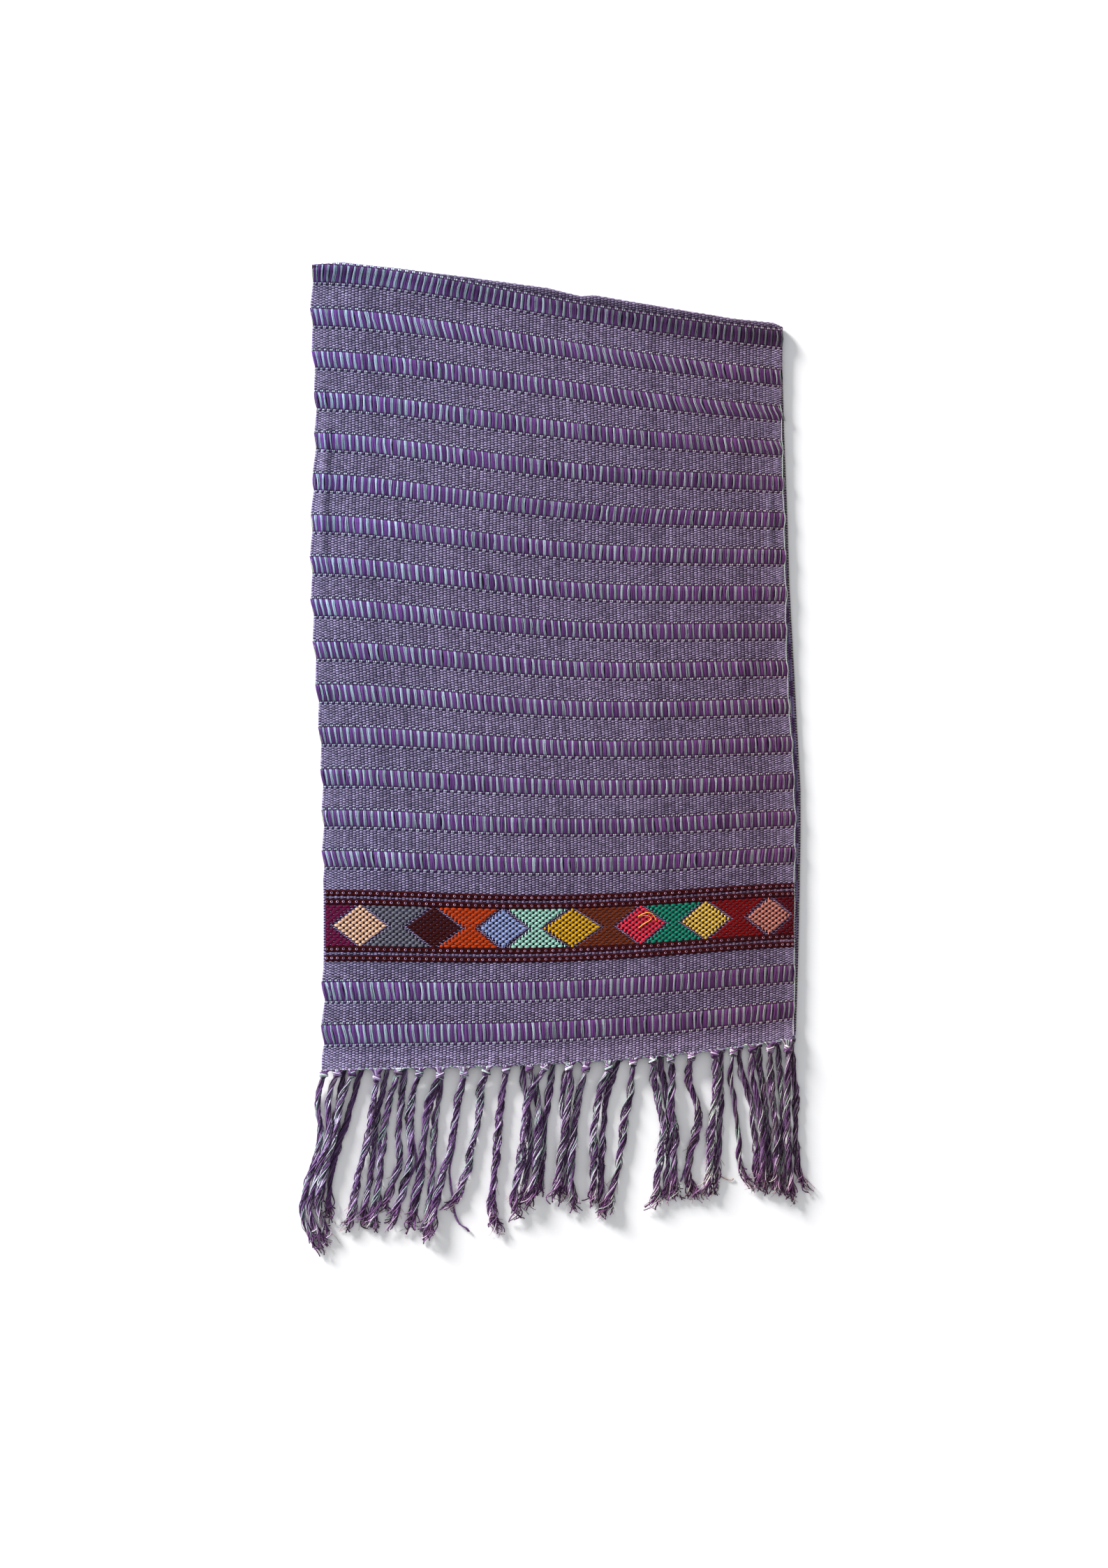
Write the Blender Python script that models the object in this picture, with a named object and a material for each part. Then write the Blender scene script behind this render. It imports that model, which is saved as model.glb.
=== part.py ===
"""A hand-loomed cotton shawl, folded once across and laid flat.

The front half lies face up over the back half, with the fold at +Y and both
knotted fringes at -Y.  +X is to the right and +Z is up.  The object stands on
z = 0 and its box is centred on x = 0, y = 0.  Sizes are in millimetres, and
the mesh builder turns them into metres.
"""

import math

import bpy
import numpy as np

MM = 0.001
CENTRE = (1.82, -0.92, 0.0)   # middle of the laid shawl in the tables' own millimetres

# Thicknesses and heights, in millimetres
PLY = 1.6                 # the plain weave's wall
FLOAT_RAISE = 0.5         # a warp-float band stands this far out of the plain weave
BACK_PLY = 1.9            # the hidden half, with its floats pressed flat
SEAM = 0.3                # air between neighbouring pieces
FOLD_RADIUS = 1.2         # inside radius of the fold
FRONT_REST = 2.3          # height of the front half's underside over the back half
FOLD_SETTLE = 26.0        # the front half sinks from the fold to its rest over this
LOWER_LEG = 3.2           # least length of cloth that the fold turns under
EDGE_LIFT = 1.9           # the back fringe's knots lift the front's lower edge
EDGE_LIFT_REACH = 0.45    # that lift fades over this many stripe repeats
EDGE_BELLY = 0.25         # how far a selvedge rounds out past its wall's corners
BACK_BELLY = 0.45         # the same all round the back half
INLAY = 0.6               # thickness of the pattern weft's floats

# Stripes along the cloth, counted in repeats from the first float band
FIRST_FLOAT = 1
LAST_UPPER_FLOAT = 15
LOWER_FLOATS = (18.2, 19.2)
FLOAT_HALF = 0.21         # half of a float band, in repeats
FLOAT_RAMP = 0.04         # the step down from a float band to the plain weave
CLOTH_END = 20.0

# Each row is one weft line of the front half as it lies on the table:
# the repeat it belongs to, y at five places from the left selvedge to the
# right one, and x of both selvedges.
WEFT_LINES = (
    # repeat, y_left, y_quarter, y_middle, y_three_quarters, y_right, x_left, x_right
    (1.0, 461.0, 449.5, 429.3, 411.3, 397.9, -229.6, 218.3),
    (2.0, 419.3, 409.2, 391.5, 374.6, 361.0, -230.4, 217.8),
    (4.0, 339.9, 329.2, 313.4, 301.7, 293.7, -226.6, 218.8),
    (7.0, 222.7, 212.4, 198.6, 192.0, 190.2, -230.4, 221.9),
    (10.0, 101.5, 94.5, 84.5, 82.3, 83.9, -227.5, 223.7),
    (13.0, -20.0, -23.5, -29.2, -28.6, -23.8, -220.5, 230.2),
    (15.0, -97.5, -100.7, -103.6, -99.8, -93.5, -219.2, 231.1),
    (18.2, -224.1, -224.1, -222.5, -215.5, -206.5, -219.1, 230.7),
    (20.0, -298.7, -296.0, -292.0, -283.5, -268.5, -220.5, 229.5),
)
ACROSS = (0.0, 0.25, 0.5, 0.75, 1.0)

# The fold's outline seen from above, from the left corner to the right one
FOLD_LINE = (
    # across, y
    (0.00, 469.2),
    (0.06, 471.4),
    (0.17, 466.0),
    (0.33, 457.0),
    (0.50, 446.7),
    (0.57, 438.9),
    (0.60, 439.8),
    (0.75, 428.3),
    (0.90, 417.2),
    (0.98, 413.6),
    (1.00, 409.5),
)

# Right selvedge of the back half, which shows past the front's
BACK_SELVEDGE = (
    # y, x
    (400.0, 217.5),
    (310.0, 220.0),
    (232.0, 223.0),
    (160.0, 225.2),
    (88.0, 229.2),
    (35.0, 232.0),
    (-33.0, 235.7),
    (-77.0, 235.7),
    (-183.0, 233.7),
    (-266.0, 231.2),
)
BACK_LEFT_INSET = 4.0     # the back half hides this far inside the left selvedge
BACK_END_LEFT = 9.0       # and its end stops this far short of the front's end,
BACK_END_RIGHT = 2.5      # less at the right corner, where it peeks out

# A gentle swell over the whole front half: its mean height, and how many
# waves it makes across the cloth and along one stripe repeat
SWELL = 0.25
SWELL_ACROSS = 1.2
SWELL_ALONG = 0.13

# Soft creases in the front half
CREASES = (
    # across, first repeat, last repeat, half width in mm, height
    (0.022, 4.0, 8.4, 5.0, 1.1),
    (0.965, 4.8, 7.4, 5.0, 0.9),
    (0.570, 0.8, 2.6, 9.0, 0.8),
    (0.320, 6.0, 13.0, 26.0, 0.6),
    (0.700, 9.0, 17.0, 30.0, 0.6),
)
CREASE_FADE = 1.2         # repeats over which a crease runs out at either end

# The inlaid band: four dark lines round a row of diamonds and the fields between
LINES = (
    # name, repeat at its middle, half height in repeats
    ("line_1", 15.84, 0.068),
    ("line_2", 16.06, 0.068),
    ("line_3", 17.20, 0.068),
    ("line_4", 17.42, 0.068),
)
BAND_MIDDLE = 16.63
BAND_HALF = 0.48
DIAMOND_TIP = 0.05        # a diamond's blunt tip, as a share of its width
OUTLINE = 0.0095          # ground left bare between a diamond and a field, across
SELVEDGE = 0.003          # ground left bare at both selvedges, across
LAST_FIELD = 0.0045       # least width of the last field, beside the right selvedge
DIAMONDS = (
    # name, across, half width, colour
    ("diamond_peach", 0.077, 0.0551, (0.90, 0.52, 0.31)),
    ("diamond_maroon", 0.233, 0.0564, (0.062, 0.007, 0.007)),
    ("diamond_periwinkle", 0.380, 0.0499, (0.26, 0.33, 0.68)),
    ("diamond_mustard", 0.526, 0.0590, (0.75, 0.42, 0.03)),
    ("diamond_red", 0.672, 0.0503, (0.68, 0.021, 0.053)),
    ("diamond_yellow", 0.810, 0.0494, (0.83, 0.54, 0.08)),
    ("diamond_salmon", 0.944, 0.0440, (0.58, 0.20, 0.14)),
)
FIELDS = (
    # name, colour
    ("field_magenta", (0.19, 0.009, 0.07)),
    ("field_grey", (0.11, 0.14, 0.17)),
    ("field_orange", (0.58, 0.07, 0.01)),
    ("field_mint", (0.38, 0.75, 0.61)),
    ("field_brown", (0.17, 0.038, 0.007)),
    ("field_teal", (0.017, 0.30, 0.19)),
    ("field_red", (0.20, 0.004, 0.008)),
    ("field_wine", (0.11, 0.004, 0.01)),
)

# Tassels: y of the knot and of the tip, and x at seven heights from knot to tip
FRONT_TASSELS = (
    # knot_y, tip_y, x_knot, x_1, x_2, x_3, x_4, x_5, x_tip, width
    (-303, -472, -219, -225, -222, -228, -237, -238, -222, 5.6),
    (-303, -467, -206, -215, -214, -221, -230, -231, -216, 5.6),
    (-303, -461, -192, -203, -207, -214, -222, -224, -210, 5.6),
    (-307, -452, -168, -172, -175, -181, -187, -191, -197, 6.6),
    (-301, -453, -148, -156, -161, -164, -166, -169, -174, 6.8),
    (-302, -451, -128, -135, -137, -136, -140, -147, -157, 6.6),
    (-304, -453, -108, -118, -122, -125, -128, -133, -137, 7.2),
    (-303, -459, -85, -91, -95, -100, -108, -114, -120, 6.2),
    (-301, -434, -64, -70, -71, -77, -81, -88, -101, 6.6),
    (-299, -455, -45, -49, -52, -54, -57, -59, -54, 7.2),
    (-297, -431, -23, -16, -14, -14, -16, -20, -25, 7.2),
    (-297, -441, -8, -22, -27, -29, -32, -37, -35, 7.2),
    (-297, -426, 15, 16, 13, 11, 7, 4, 0, 6.6),
    (-298, -434, 31, 25, 21, 19, 17, 17, 20, 6.6),
    (-297, -429, 53, 45, 41, 38, 39, 38, 37, 6.8),
    (-291, -439, 76, 74, 69, 66, 62, 56, 48, 6.6),
    (-287, -431, 95, 97, 102, 105, 102, 99, 96, 6.8),
    (-289, -424, 112, 114, 112, 116, 115, 115, 118, 6.8),
    (-283, -424, 132, 129, 137, 137, 131, 129, 136, 7.0),
    (-283, -421, 154, 156, 154, 151, 150, 149, 143, 7.2),
    (-281, -411, 172, 169, 172, 175, 177, 178, 189, 4.0),
    (-278, -414, 190, 189, 194, 198, 200, 200, 201, 6.0),
    (-279, -419, 207, 207, 209, 212, 213, 213, 214, 6.0),
    (-279, -425, 224, 224, 223, 223, 224, 226, 227, 6.0),
)
BACK_TASSELS = (
    # tip_y, x_knot, x_1, x_2, x_3, x_4, x_5, x_tip, width
    (-435, -199, -203, -207, -211, -216, -221, -227, 5.6),
    (-443, -181, -189, -196, -204, -211, -214, -213, 5.6),
    (-451, -157, -163, -169, -172, -174, -179, -182, 5.6),
    (-435, -140, -144, -146, -148, -147, -155, -162, 5.6),
    (-461, -106, -108, -113, -114, -116, -120, -123, 5.6),
    (-428, -30, -28, -24, -22, -23, -27, -30, 5.6),
    (-420, 1, -3, -6, -8, -10, -12, -14, 5.6),
    (-424, 14, 10, 8, 11, 12, 10, 9, 5.0),
    (-439, 64, 54, 49, 47, 46, 46, 47, 5.6),
    (-426, 102, 105, 109, 112, 110, 109, 105, 5.6),
    (-417, 161, 160, 160, 159, 158, 156, 153, 5.0),
    (-413, 178, 179, 187, 190, 193, 194, 194, 5.6),
    (-417, 196, 197, 201, 203, 205, 206, 206, 5.6),
    (-419, 214, 216, 217, 218, 218, 219, 219, 5.0),
    (-417, 228, 229, 231, 231, 232, 234, 242, 5.6),
)
STRIP_RADIUS = 1.1        # the cord that edges the cloth and ties the knots together
FRONT_KNOT = (4.4, 4.0, 2.6)
BACK_KNOT = (3.4, 3.4, 1.0)
KNOT_HEIGHT = 5.3         # middle of a front knot over the floor
BACK_HEIGHT = 1.4         # middle of the back fringe over the floor
LOCK_HALF_HEIGHT = 1.2
BACK_LOCK_HALF_HEIGHT = 1.0
NECK_TOP = (4.2, 0.8)     # half width and height of the warp ends gathered into a knot,
NECK_FOOT = (2.2, 1.1)    # where they leave the cord and where they enter the knot
LOCK_OVER = 4.0           # a front lock's middle where it crosses the back fringe
LOCK_DOWN = 1.7           # and where it lies on the floor
LOCK_GAP = 0.5            # air between neighbouring locks
CROSS_CLEAR = 2.5         # a front lock rises where it comes this near a back one,
CROSS_PAST = 6.0          # up to this far past the back one's tip
LOCK_ROOT = 0.35          # locks leave the knot this close together, as a share
LOCK_TAPER = 0.35         # how much a lock thins at its tip
LOCKS = 2                 # locks in a tassel
LOCK_SIDES = 4
LOCK_STEPS = 6
LOCK_TWIST = 0.7          # radians a lock turns from one step to the next


def spline(knots, values, at):
    """Natural cubic spline through values at knots, straight beyond both ends."""
    knots = np.asarray(knots, float)
    values = np.asarray(values, float)
    step = np.diff(knots)
    count = len(knots)
    matrix = np.eye(count)
    right = np.zeros(count)
    for row in range(1, count - 1):
        matrix[row, row - 1 : row + 2] = (step[row - 1], 2 * (step[row - 1] + step[row]), step[row])
        slopes = np.diff(values[row - 1 : row + 2]) / step[row - 1 : row + 1]
        right[row] = 6 * (slopes[1] - slopes[0])
    bend = np.linalg.solve(matrix, right)
    inside = np.clip(at, knots[0], knots[-1])
    cell = np.clip(np.searchsorted(knots, inside, "right") - 1, 0, count - 2)
    width = step[cell]
    near = (knots[cell + 1] - inside) / width
    far = 1 - near
    curve = (
        near * values[cell]
        + far * values[cell + 1]
        + ((near**3 - near) * bend[cell] + (far**3 - far) * bend[cell + 1]) * width**2 / 6
    )
    first = (values[1] - values[0]) / step[0] - step[0] * bend[1] / 6
    last = (values[-1] - values[-2]) / step[-1] + step[-1] * bend[-2] / 6
    beyond = at - inside
    return curve + np.where(beyond < 0, first, last) * beyond


def smooth(t):
    """Ease from 0 to 1 as t goes from 0 to 1."""
    t = np.clip(t, 0.0, 1.0)
    return t * t * (3 - 2 * t)


def weft_line(across, repeat):
    """Plan x and y of points of the front half, from how far across and along they are."""
    rows = np.array(WEFT_LINES)
    places = [spline(rows[:, 0], rows[:, 1 + k], repeat) for k in range(len(ACROSS))]
    y = np.zeros_like(across)
    for k, place in enumerate(ACROSS):
        others = [other for other in ACROSS if other != place]
        weight = np.prod([(across - other) / (place - other) for other in others], axis=0)
        y = y + weight * places[k]
    left = spline(rows[:, 0], rows[:, 6], repeat)
    right = spline(rows[:, 0], rows[:, 7], repeat)
    return left + (right - left) * across, y


def fold_start(across):
    """Plan y where the cloth starts to turn over the fold."""
    line = np.array(FOLD_LINE)
    return np.interp(across, line[:, 0], line[:, 1]) - FOLD_RADIUS - PLY


def seam_line(x):
    """Plan y of the straight seam under the fold, where the two halves' solids meet."""
    left = fold_start(0.0) - LOWER_LEG
    right = fold_start(1.0) - LOWER_LEG
    x_left, x_right = WEFT_LINES[0][6:8]
    return left + (right - left) * (x - x_left) / (x_right - x_left)


def lift(across, repeat):
    """How far creases and the knots below raise the front half from its rest."""
    height = SWELL * (1 + np.sin(2 * math.pi * (SWELL_ACROSS * across + SWELL_ALONG * repeat)))
    width = WEFT_LINES[0][7] - WEFT_LINES[0][6]
    for place, first, last, half, top in CREASES:
        side = np.exp(-(((across - place) * width / half) ** 2))
        along = smooth((repeat - first) / CREASE_FADE) * smooth((last - repeat) / CREASE_FADE)
        height = height + top * side * along
    return height + EDGE_LIFT * smooth(1 - (CLOTH_END - repeat) / EDGE_LIFT_REACH)


def front_points(across, repeat, y, outward):
    """Points of the front half, outward millimetres outside its inner face.

    Up to the fold's start the cloth lies flat.  Past it the length of cloth
    goes round a half circle and then back under itself along the floor.
    """
    x = weft_line(across, repeat)[0]
    start = fold_start(across)
    past = y - start
    middle = FOLD_RADIUS + PLY / 2
    turn = np.clip(past / middle, 0, math.pi)
    under = np.maximum(past - math.pi * middle, 0)
    centre = FOLD_RADIUS + PLY
    settle = smooth(-past / FOLD_SETTLE)
    rest = FRONT_REST + lift(across, repeat)
    flat = (centre + FOLD_RADIUS) * (1 - settle) + rest * settle + outward
    radius = FOLD_RADIUS + outward
    out_y = start + radius * np.sin(turn) - under + np.minimum(past, 0)
    out_z = np.where(past < 0, flat, centre + radius * np.cos(turn))
    return np.stack([x, out_y, out_z], axis=-1)


def float_raise(repeat):
    """Height of the warp floats over the plain weave."""
    bands = list(range(FIRST_FLOAT, LAST_UPPER_FLOAT + 1)) + list(LOWER_FLOATS)
    away = np.min([np.abs(repeat - band) for band in bands], axis=0)
    return FLOAT_RAISE * np.clip((FLOAT_HALF + FLOAT_RAMP - away) / FLOAT_RAMP, 0, 1)


def material(name, colour, roughness):
    """One plain Principled material."""
    made = bpy.data.materials.new(name)
    made.use_nodes = True
    shader = made.node_tree.nodes["Principled BSDF"]
    shader.inputs["Base Color"].default_value = (*colour, 1.0)
    shader.inputs["Roughness"].default_value = roughness
    shader.inputs["Metallic"].default_value = 0.0
    return made


def add_object(name, points, faces, finish):
    """A named object from points in millimetres."""
    mesh = bpy.data.meshes.new(name)
    mesh.from_pydata(((np.asarray(points) - CENTRE) * MM).tolist(), [], faces)
    mesh.update()
    mesh.materials.append(finish)
    made = bpy.data.objects.new(name, mesh)
    bpy.context.scene.collection.objects.link(made)
    return made


def add_wall(name, lower, upper, finish, belly=(0.0, 0.0, 0.0, 0.0)):
    """A closed wall between two point grids, with the rim rounded out by belly.

    Rows run from the fold to the fringe and columns from left to right.  belly
    is for the left, right, first and last edges.
    """
    rows, columns = lower.shape[:2]
    index = np.arange(rows * columns).reshape(rows, columns)
    ring = np.concatenate([index[0, :-1], index[:-1, -1], index[-1, :0:-1], index[:0:-1, 0]])
    low = lower.reshape(-1, 3)
    high = upper.reshape(-1, 3)
    row_of, column_of = np.divmod(ring, columns)
    middle = (low[ring] + high[ring]) / 2
    middle[:, 0] += belly[1] * (column_of == columns - 1) - belly[0] * (column_of == 0)
    middle[:, 1] += belly[2] * (row_of == 0) - belly[3] * (row_of == rows - 1)
    rounded = max(belly) > 0
    points = np.concatenate([low, high, middle] if rounded else [low, high])
    top = rows * columns
    side = 2 * top
    faces = []
    for row in range(rows - 1):
        for column in range(columns - 1):
            a, b = index[row, column], index[row, column + 1]
            d, c = index[row + 1, column], index[row + 1, column + 1]
            faces.append((a, b, c, d))
            faces.append((a + top, d + top, c + top, b + top))
    count = len(ring)
    for k in range(count):
        one, two = ring[k], ring[(k + 1) % count]
        if rounded:
            mid_one, mid_two = side + k, side + (k + 1) % count
            faces.append((two, one, mid_one, mid_two))
            faces.append((mid_two, mid_one, one + top, two + top))
        else:
            faces.append((two, one, one + top, two + top))
    return add_object(name, points, [tuple(int(i) for i in face) for face in faces], finish)


def build_front(finish):
    """Front half: from the cloth turned under the fold to the end of the weave."""
    across = np.array(
        [0, 0.010, 0.022, 0.036, 0.12, 0.24, 0.36, 0.48, 0.57, 0.66, 0.78, 0.90, 0.965, 0.985, 1]
    )
    middle = FOLD_RADIUS + PLY / 2
    turned = math.pi * middle * np.array([4, 4, 3, 2, 1, 0]) / 4
    edges = [-FLOAT_HALF - FLOAT_RAMP, -FLOAT_HALF, FLOAT_HALF, FLOAT_HALF + FLOAT_RAMP]
    repeats = [0.93] + [FIRST_FLOAT + edge for edge in edges[2:]]
    for band in range(FIRST_FLOAT + 1, LAST_UPPER_FLOAT + 1):
        repeats += [band + edge for edge in edges]
    repeats += [15.6, 16.0, 16.4, 16.8, 17.2, 17.6]
    for band in LOWER_FLOATS:
        repeats += [band + edge for edge in edges]
    repeats += [19.6, 19.8, CLOTH_END]
    count = len(turned) + len(repeats)
    u = np.tile(across, (count, 1))
    v = np.repeat(np.array([0.7] * len(turned) + repeats), len(across)).reshape(count, -1)
    x, y = weft_line(u, v)
    y[: len(turned)] = fold_start(across) + turned[:, None]
    y[0] += fold_start(across) - seam_line(x[0])
    raised = float_raise(v)
    raised[: len(turned) - 1] = 0
    lower = front_points(u, v, y, 0.0)
    upper = front_points(u, v, y, PLY + raised)
    return add_wall("cloth_front", lower, upper, finish, (EDGE_BELLY, EDGE_BELLY, 0, 0))


def back_edge(across):
    """Plan y of the end of the back half."""
    across = np.asarray(across, float)
    y = weft_line(across, np.full_like(across, CLOTH_END))[1]
    return y + BACK_END_LEFT + (BACK_END_RIGHT - BACK_END_LEFT) * across


def build_back(finish):
    """Back half: one flat solid under the front, from the seam under the fold to its end."""
    across = np.linspace(0, 1, 8)
    along = np.linspace(0, 1, 19)
    selvedge = np.array(BACK_SELVEDGE)[::-1]
    u, t = np.meshgrid(across, along)
    repeat = 0.9 + (CLOTH_END - 0.9) * t
    left = weft_line(np.zeros_like(u), repeat)[0] + BACK_LEFT_INSET
    first_right = seam_line(BACK_SELVEDGE[0][1])
    right_y = first_right + (back_edge(1.0) - first_right) * along
    right = np.interp(right_y, selvedge[:, 0], selvedge[:, 1])[:, None]
    x = left + (right - left) * u
    first = seam_line(x[0]) - SEAM
    y = first + (back_edge(across) - first) * t
    pull_x = BACK_BELLY * ((u == 0).astype(float) - (u == 1))
    pull_y = -BACK_BELLY * (t == 0) + BACK_BELLY * (t == 1)
    lower = np.stack([x + pull_x, y + pull_y, np.zeros_like(x)], axis=-1)
    upper = np.stack([x + pull_x, y + pull_y, np.full_like(x, BACK_PLY)], axis=-1)
    return add_wall("cloth_back", lower, upper, finish, (BACK_BELLY,) * 4)


def add_inlay(name, u, v, finish):
    """A patch of pattern weft that lies on the front, from its outer points moved out."""
    y = weft_line(u, v)[1]
    outer = PLY + SEAM
    lower = front_points(u, v, y, outer)
    upper = front_points(u, v, y, outer + INLAY)
    return add_wall(name, lower, upper, finish)


def build_band():
    """The inlaid lines, diamonds and the fields between them."""
    line_finish = material("dark_line_yarn", (0.052, 0.003, 0.004), 0.9)
    for name, middle, half in LINES:
        columns = np.linspace(SELVEDGE, 1 - SELVEDGE, 17)
        u, v = np.meshgrid(columns, [middle - half, middle + half])
        add_inlay(name, u, v, line_finish)
    steps = np.linspace(-1, 1, 5)
    rows = BAND_MIDDLE + BAND_HALF * steps
    taper = np.maximum(1 - np.abs(steps), DIAMOND_TIP)
    lefts = [np.full_like(steps, SELVEDGE)]
    rights = []
    for name, place, widest, colour in DIAMONDS:
        columns = np.linspace(-1, 1, 3)
        half = widest * taper
        u = place + half[:, None] * columns
        v = np.tile(rows[:, None], (1, len(columns)))
        add_inlay(name, u, v, material(name, colour, 0.9))
        rights.append(place - half - OUTLINE)
        lefts.append(np.minimum(place + half + OUTLINE, 1 - SELVEDGE - LAST_FIELD))
    rights.append(np.full_like(steps, 1 - SELVEDGE))
    for (name, colour), left, right in zip(FIELDS, lefts, rights):
        columns = np.linspace(0, 1, 3)
        u = left[:, None] + (right - left)[:, None] * columns
        v = np.tile(rows[:, None], (1, len(columns)))
        add_inlay(name, u, v, material(name, colour, 0.9))


def tube(path, half_width, half_height, sides, twist):
    """Points and faces of a closed tube along path, its section turning by twist."""
    steps = len(path)
    ahead = np.gradient(path, axis=0)
    ahead /= np.linalg.norm(ahead, axis=1)[:, None]
    aside = np.cross(ahead, (0.0, 0.0, 1.0))
    aside /= np.linalg.norm(aside, axis=1)[:, None]
    above = np.cross(aside, ahead)
    angle = twist * np.arange(steps)[:, None] + 2 * math.pi * np.arange(sides) / sides
    wide = (half_width[:, None] * np.cos(angle))[..., None] * aside[:, None]
    tall = (half_height[:, None] * np.sin(angle))[..., None] * above[:, None]
    points = (path[:, None] + wide + tall).reshape(-1, 3)
    faces = []
    for step in range(steps - 1):
        for side in range(sides):
            a = step * sides + side
            b = step * sides + (side + 1) % sides
            faces.append((a, a + sides, b + sides, b))
    faces.append(tuple(range(sides)))
    faces.append(tuple(range(steps * sides - 1, (steps - 1) * sides - 1, -1)))
    return points, faces


def ball(centre, radii, around=7, rings=3):
    """Points and faces of a low ellipsoid, for a knot."""
    points = [(0.0, 0.0, -1.0)]
    for ring in range(1, rings):
        height = math.pi * ring / rings
        for k in range(around):
            angle = 2 * math.pi * k / around
            points.append(
                (math.sin(height) * math.cos(angle), math.sin(height) * math.sin(angle), -math.cos(height))
            )
    points.append((0.0, 0.0, 1.0))
    faces = [(0, 1 + (k + 1) % around, 1 + k) for k in range(around)]
    for ring in range(rings - 2):
        for k in range(around):
            a = 1 + ring * around + k
            b = 1 + ring * around + (k + 1) % around
            faces.append((a, b, b + around, a + around))
    last = len(points) - 1
    faces += [(last, last - around + k, last - around + (k + 1) % around) for k in range(around)]
    return np.array(points) * np.array(radii) + np.array(centre), faces


def join(shapes):
    """One list of points and faces from several."""
    points = []
    faces = []
    count = 0
    for shape_points, shape_faces in shapes:
        points.append(shape_points)
        faces += [tuple(i + count for i in face) for face in shape_faces]
        count += len(shape_points)
    return np.concatenate(points), faces


def spread(middles, widths):
    """Push neighbours apart until each pair clears by the gap between locks."""
    middles = middles.copy()
    for _ in range(200):
        for k in range(len(middles) - 1):
            need = (widths[k] + widths[k + 1]) / 2 + LOCK_GAP
            short = need - (middles[k + 1] - middles[k])
            if short > 0:
                middles[k] -= short / 2
                middles[k + 1] += short / 2
    return middles


def tassel_routes(knot_y, table):
    """Routes of a fringe's tassels in plan: x and y at LOCK_STEPS + 1 places each."""
    rows = np.array(table, float)
    tips = rows[:, 0]
    places = rows[:, 1:8]
    widths = rows[:, 8]
    t = np.linspace(0, 1, LOCK_STEPS + 1)
    x = np.array([spline(np.linspace(0, 1, 7), row, t) for row in places])
    for step in range(1, len(t)):
        x[:, step] = spread(x[:, step], widths)
    y = knot_y[:, None] + (tips - knot_y)[:, None] * t
    return x, y, widths


def crossing(x, y, width, others):
    """True where a tassel lies over one of the others, and one place either side."""
    other_x, other_y, other_width = others
    found = np.zeros(len(x), bool)
    for k in range(len(other_x)):
        at = np.interp(-y, -other_y[k], other_x[k])
        near = np.abs(x - at) < (width + other_width[k]) / 2 + CROSS_CLEAR
        found |= near & (y > other_y[k][-1] - CROSS_PAST)
    beside = found.copy()
    beside[1:] |= found[:-1]
    beside[:-1] |= found[1:]
    return beside


def neck(edge, knot):
    """The warp ends that gather from the edging cord into one knot."""
    top = (knot[0], np.interp(knot[0], edge[:, 0], edge[:, 1]), knot[2])
    return tube(np.array([top, knot]), *np.array([NECK_TOP, NECK_FOOT]).T, 6, 0.0)


def build_fringe(name, edge, knots, radii, necks, locks, finish):
    """A fringe: the edging cord, its knots and the locks that hang from them."""
    core_points, core_faces = tube(
        edge, np.full(len(edge), STRIP_RADIUS), np.full(len(edge), STRIP_RADIUS * 0.9), 6, 0.0
    )
    fringe = add_object(name, core_points, core_faces, finish)
    shapes = [ball(knot, radii) for knot in knots]
    shapes += necks
    shapes += [tube(path, wide, tall, LOCK_SIDES, LOCK_TWIST) for path, wide, tall in locks]
    points, faces = join(shapes)
    bundle = add_object(name + "_locks", points, faces, finish)
    bundle.hide_render = True
    bundle.display_type = "WIRE"
    union = fringe.modifiers.new("locks", "BOOLEAN")
    union.operation = "UNION"
    union.solver = "EXACT"
    union.use_self = True
    union.object = bundle
    return fringe


def split_tassel(x, y, z, width, half_height):
    """The locks of one tassel, side by side along its route."""
    half = (width - LOCK_GAP * (LOCKS - 1)) / LOCKS / 2
    t = np.linspace(0, 1, len(x))
    open_out = np.where(t > 0, 1.0, LOCK_ROOT)
    taper = 1.0 - LOCK_TAPER * smooth(4 * t - 3)
    made = []
    for k in range(LOCKS):
        side = (k - (LOCKS - 1) / 2) * (2 * half + LOCK_GAP)
        path = np.stack([x + side * open_out, y, z], axis=-1)
        made.append((path, half * taper, half_height * taper))
    return made


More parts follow.
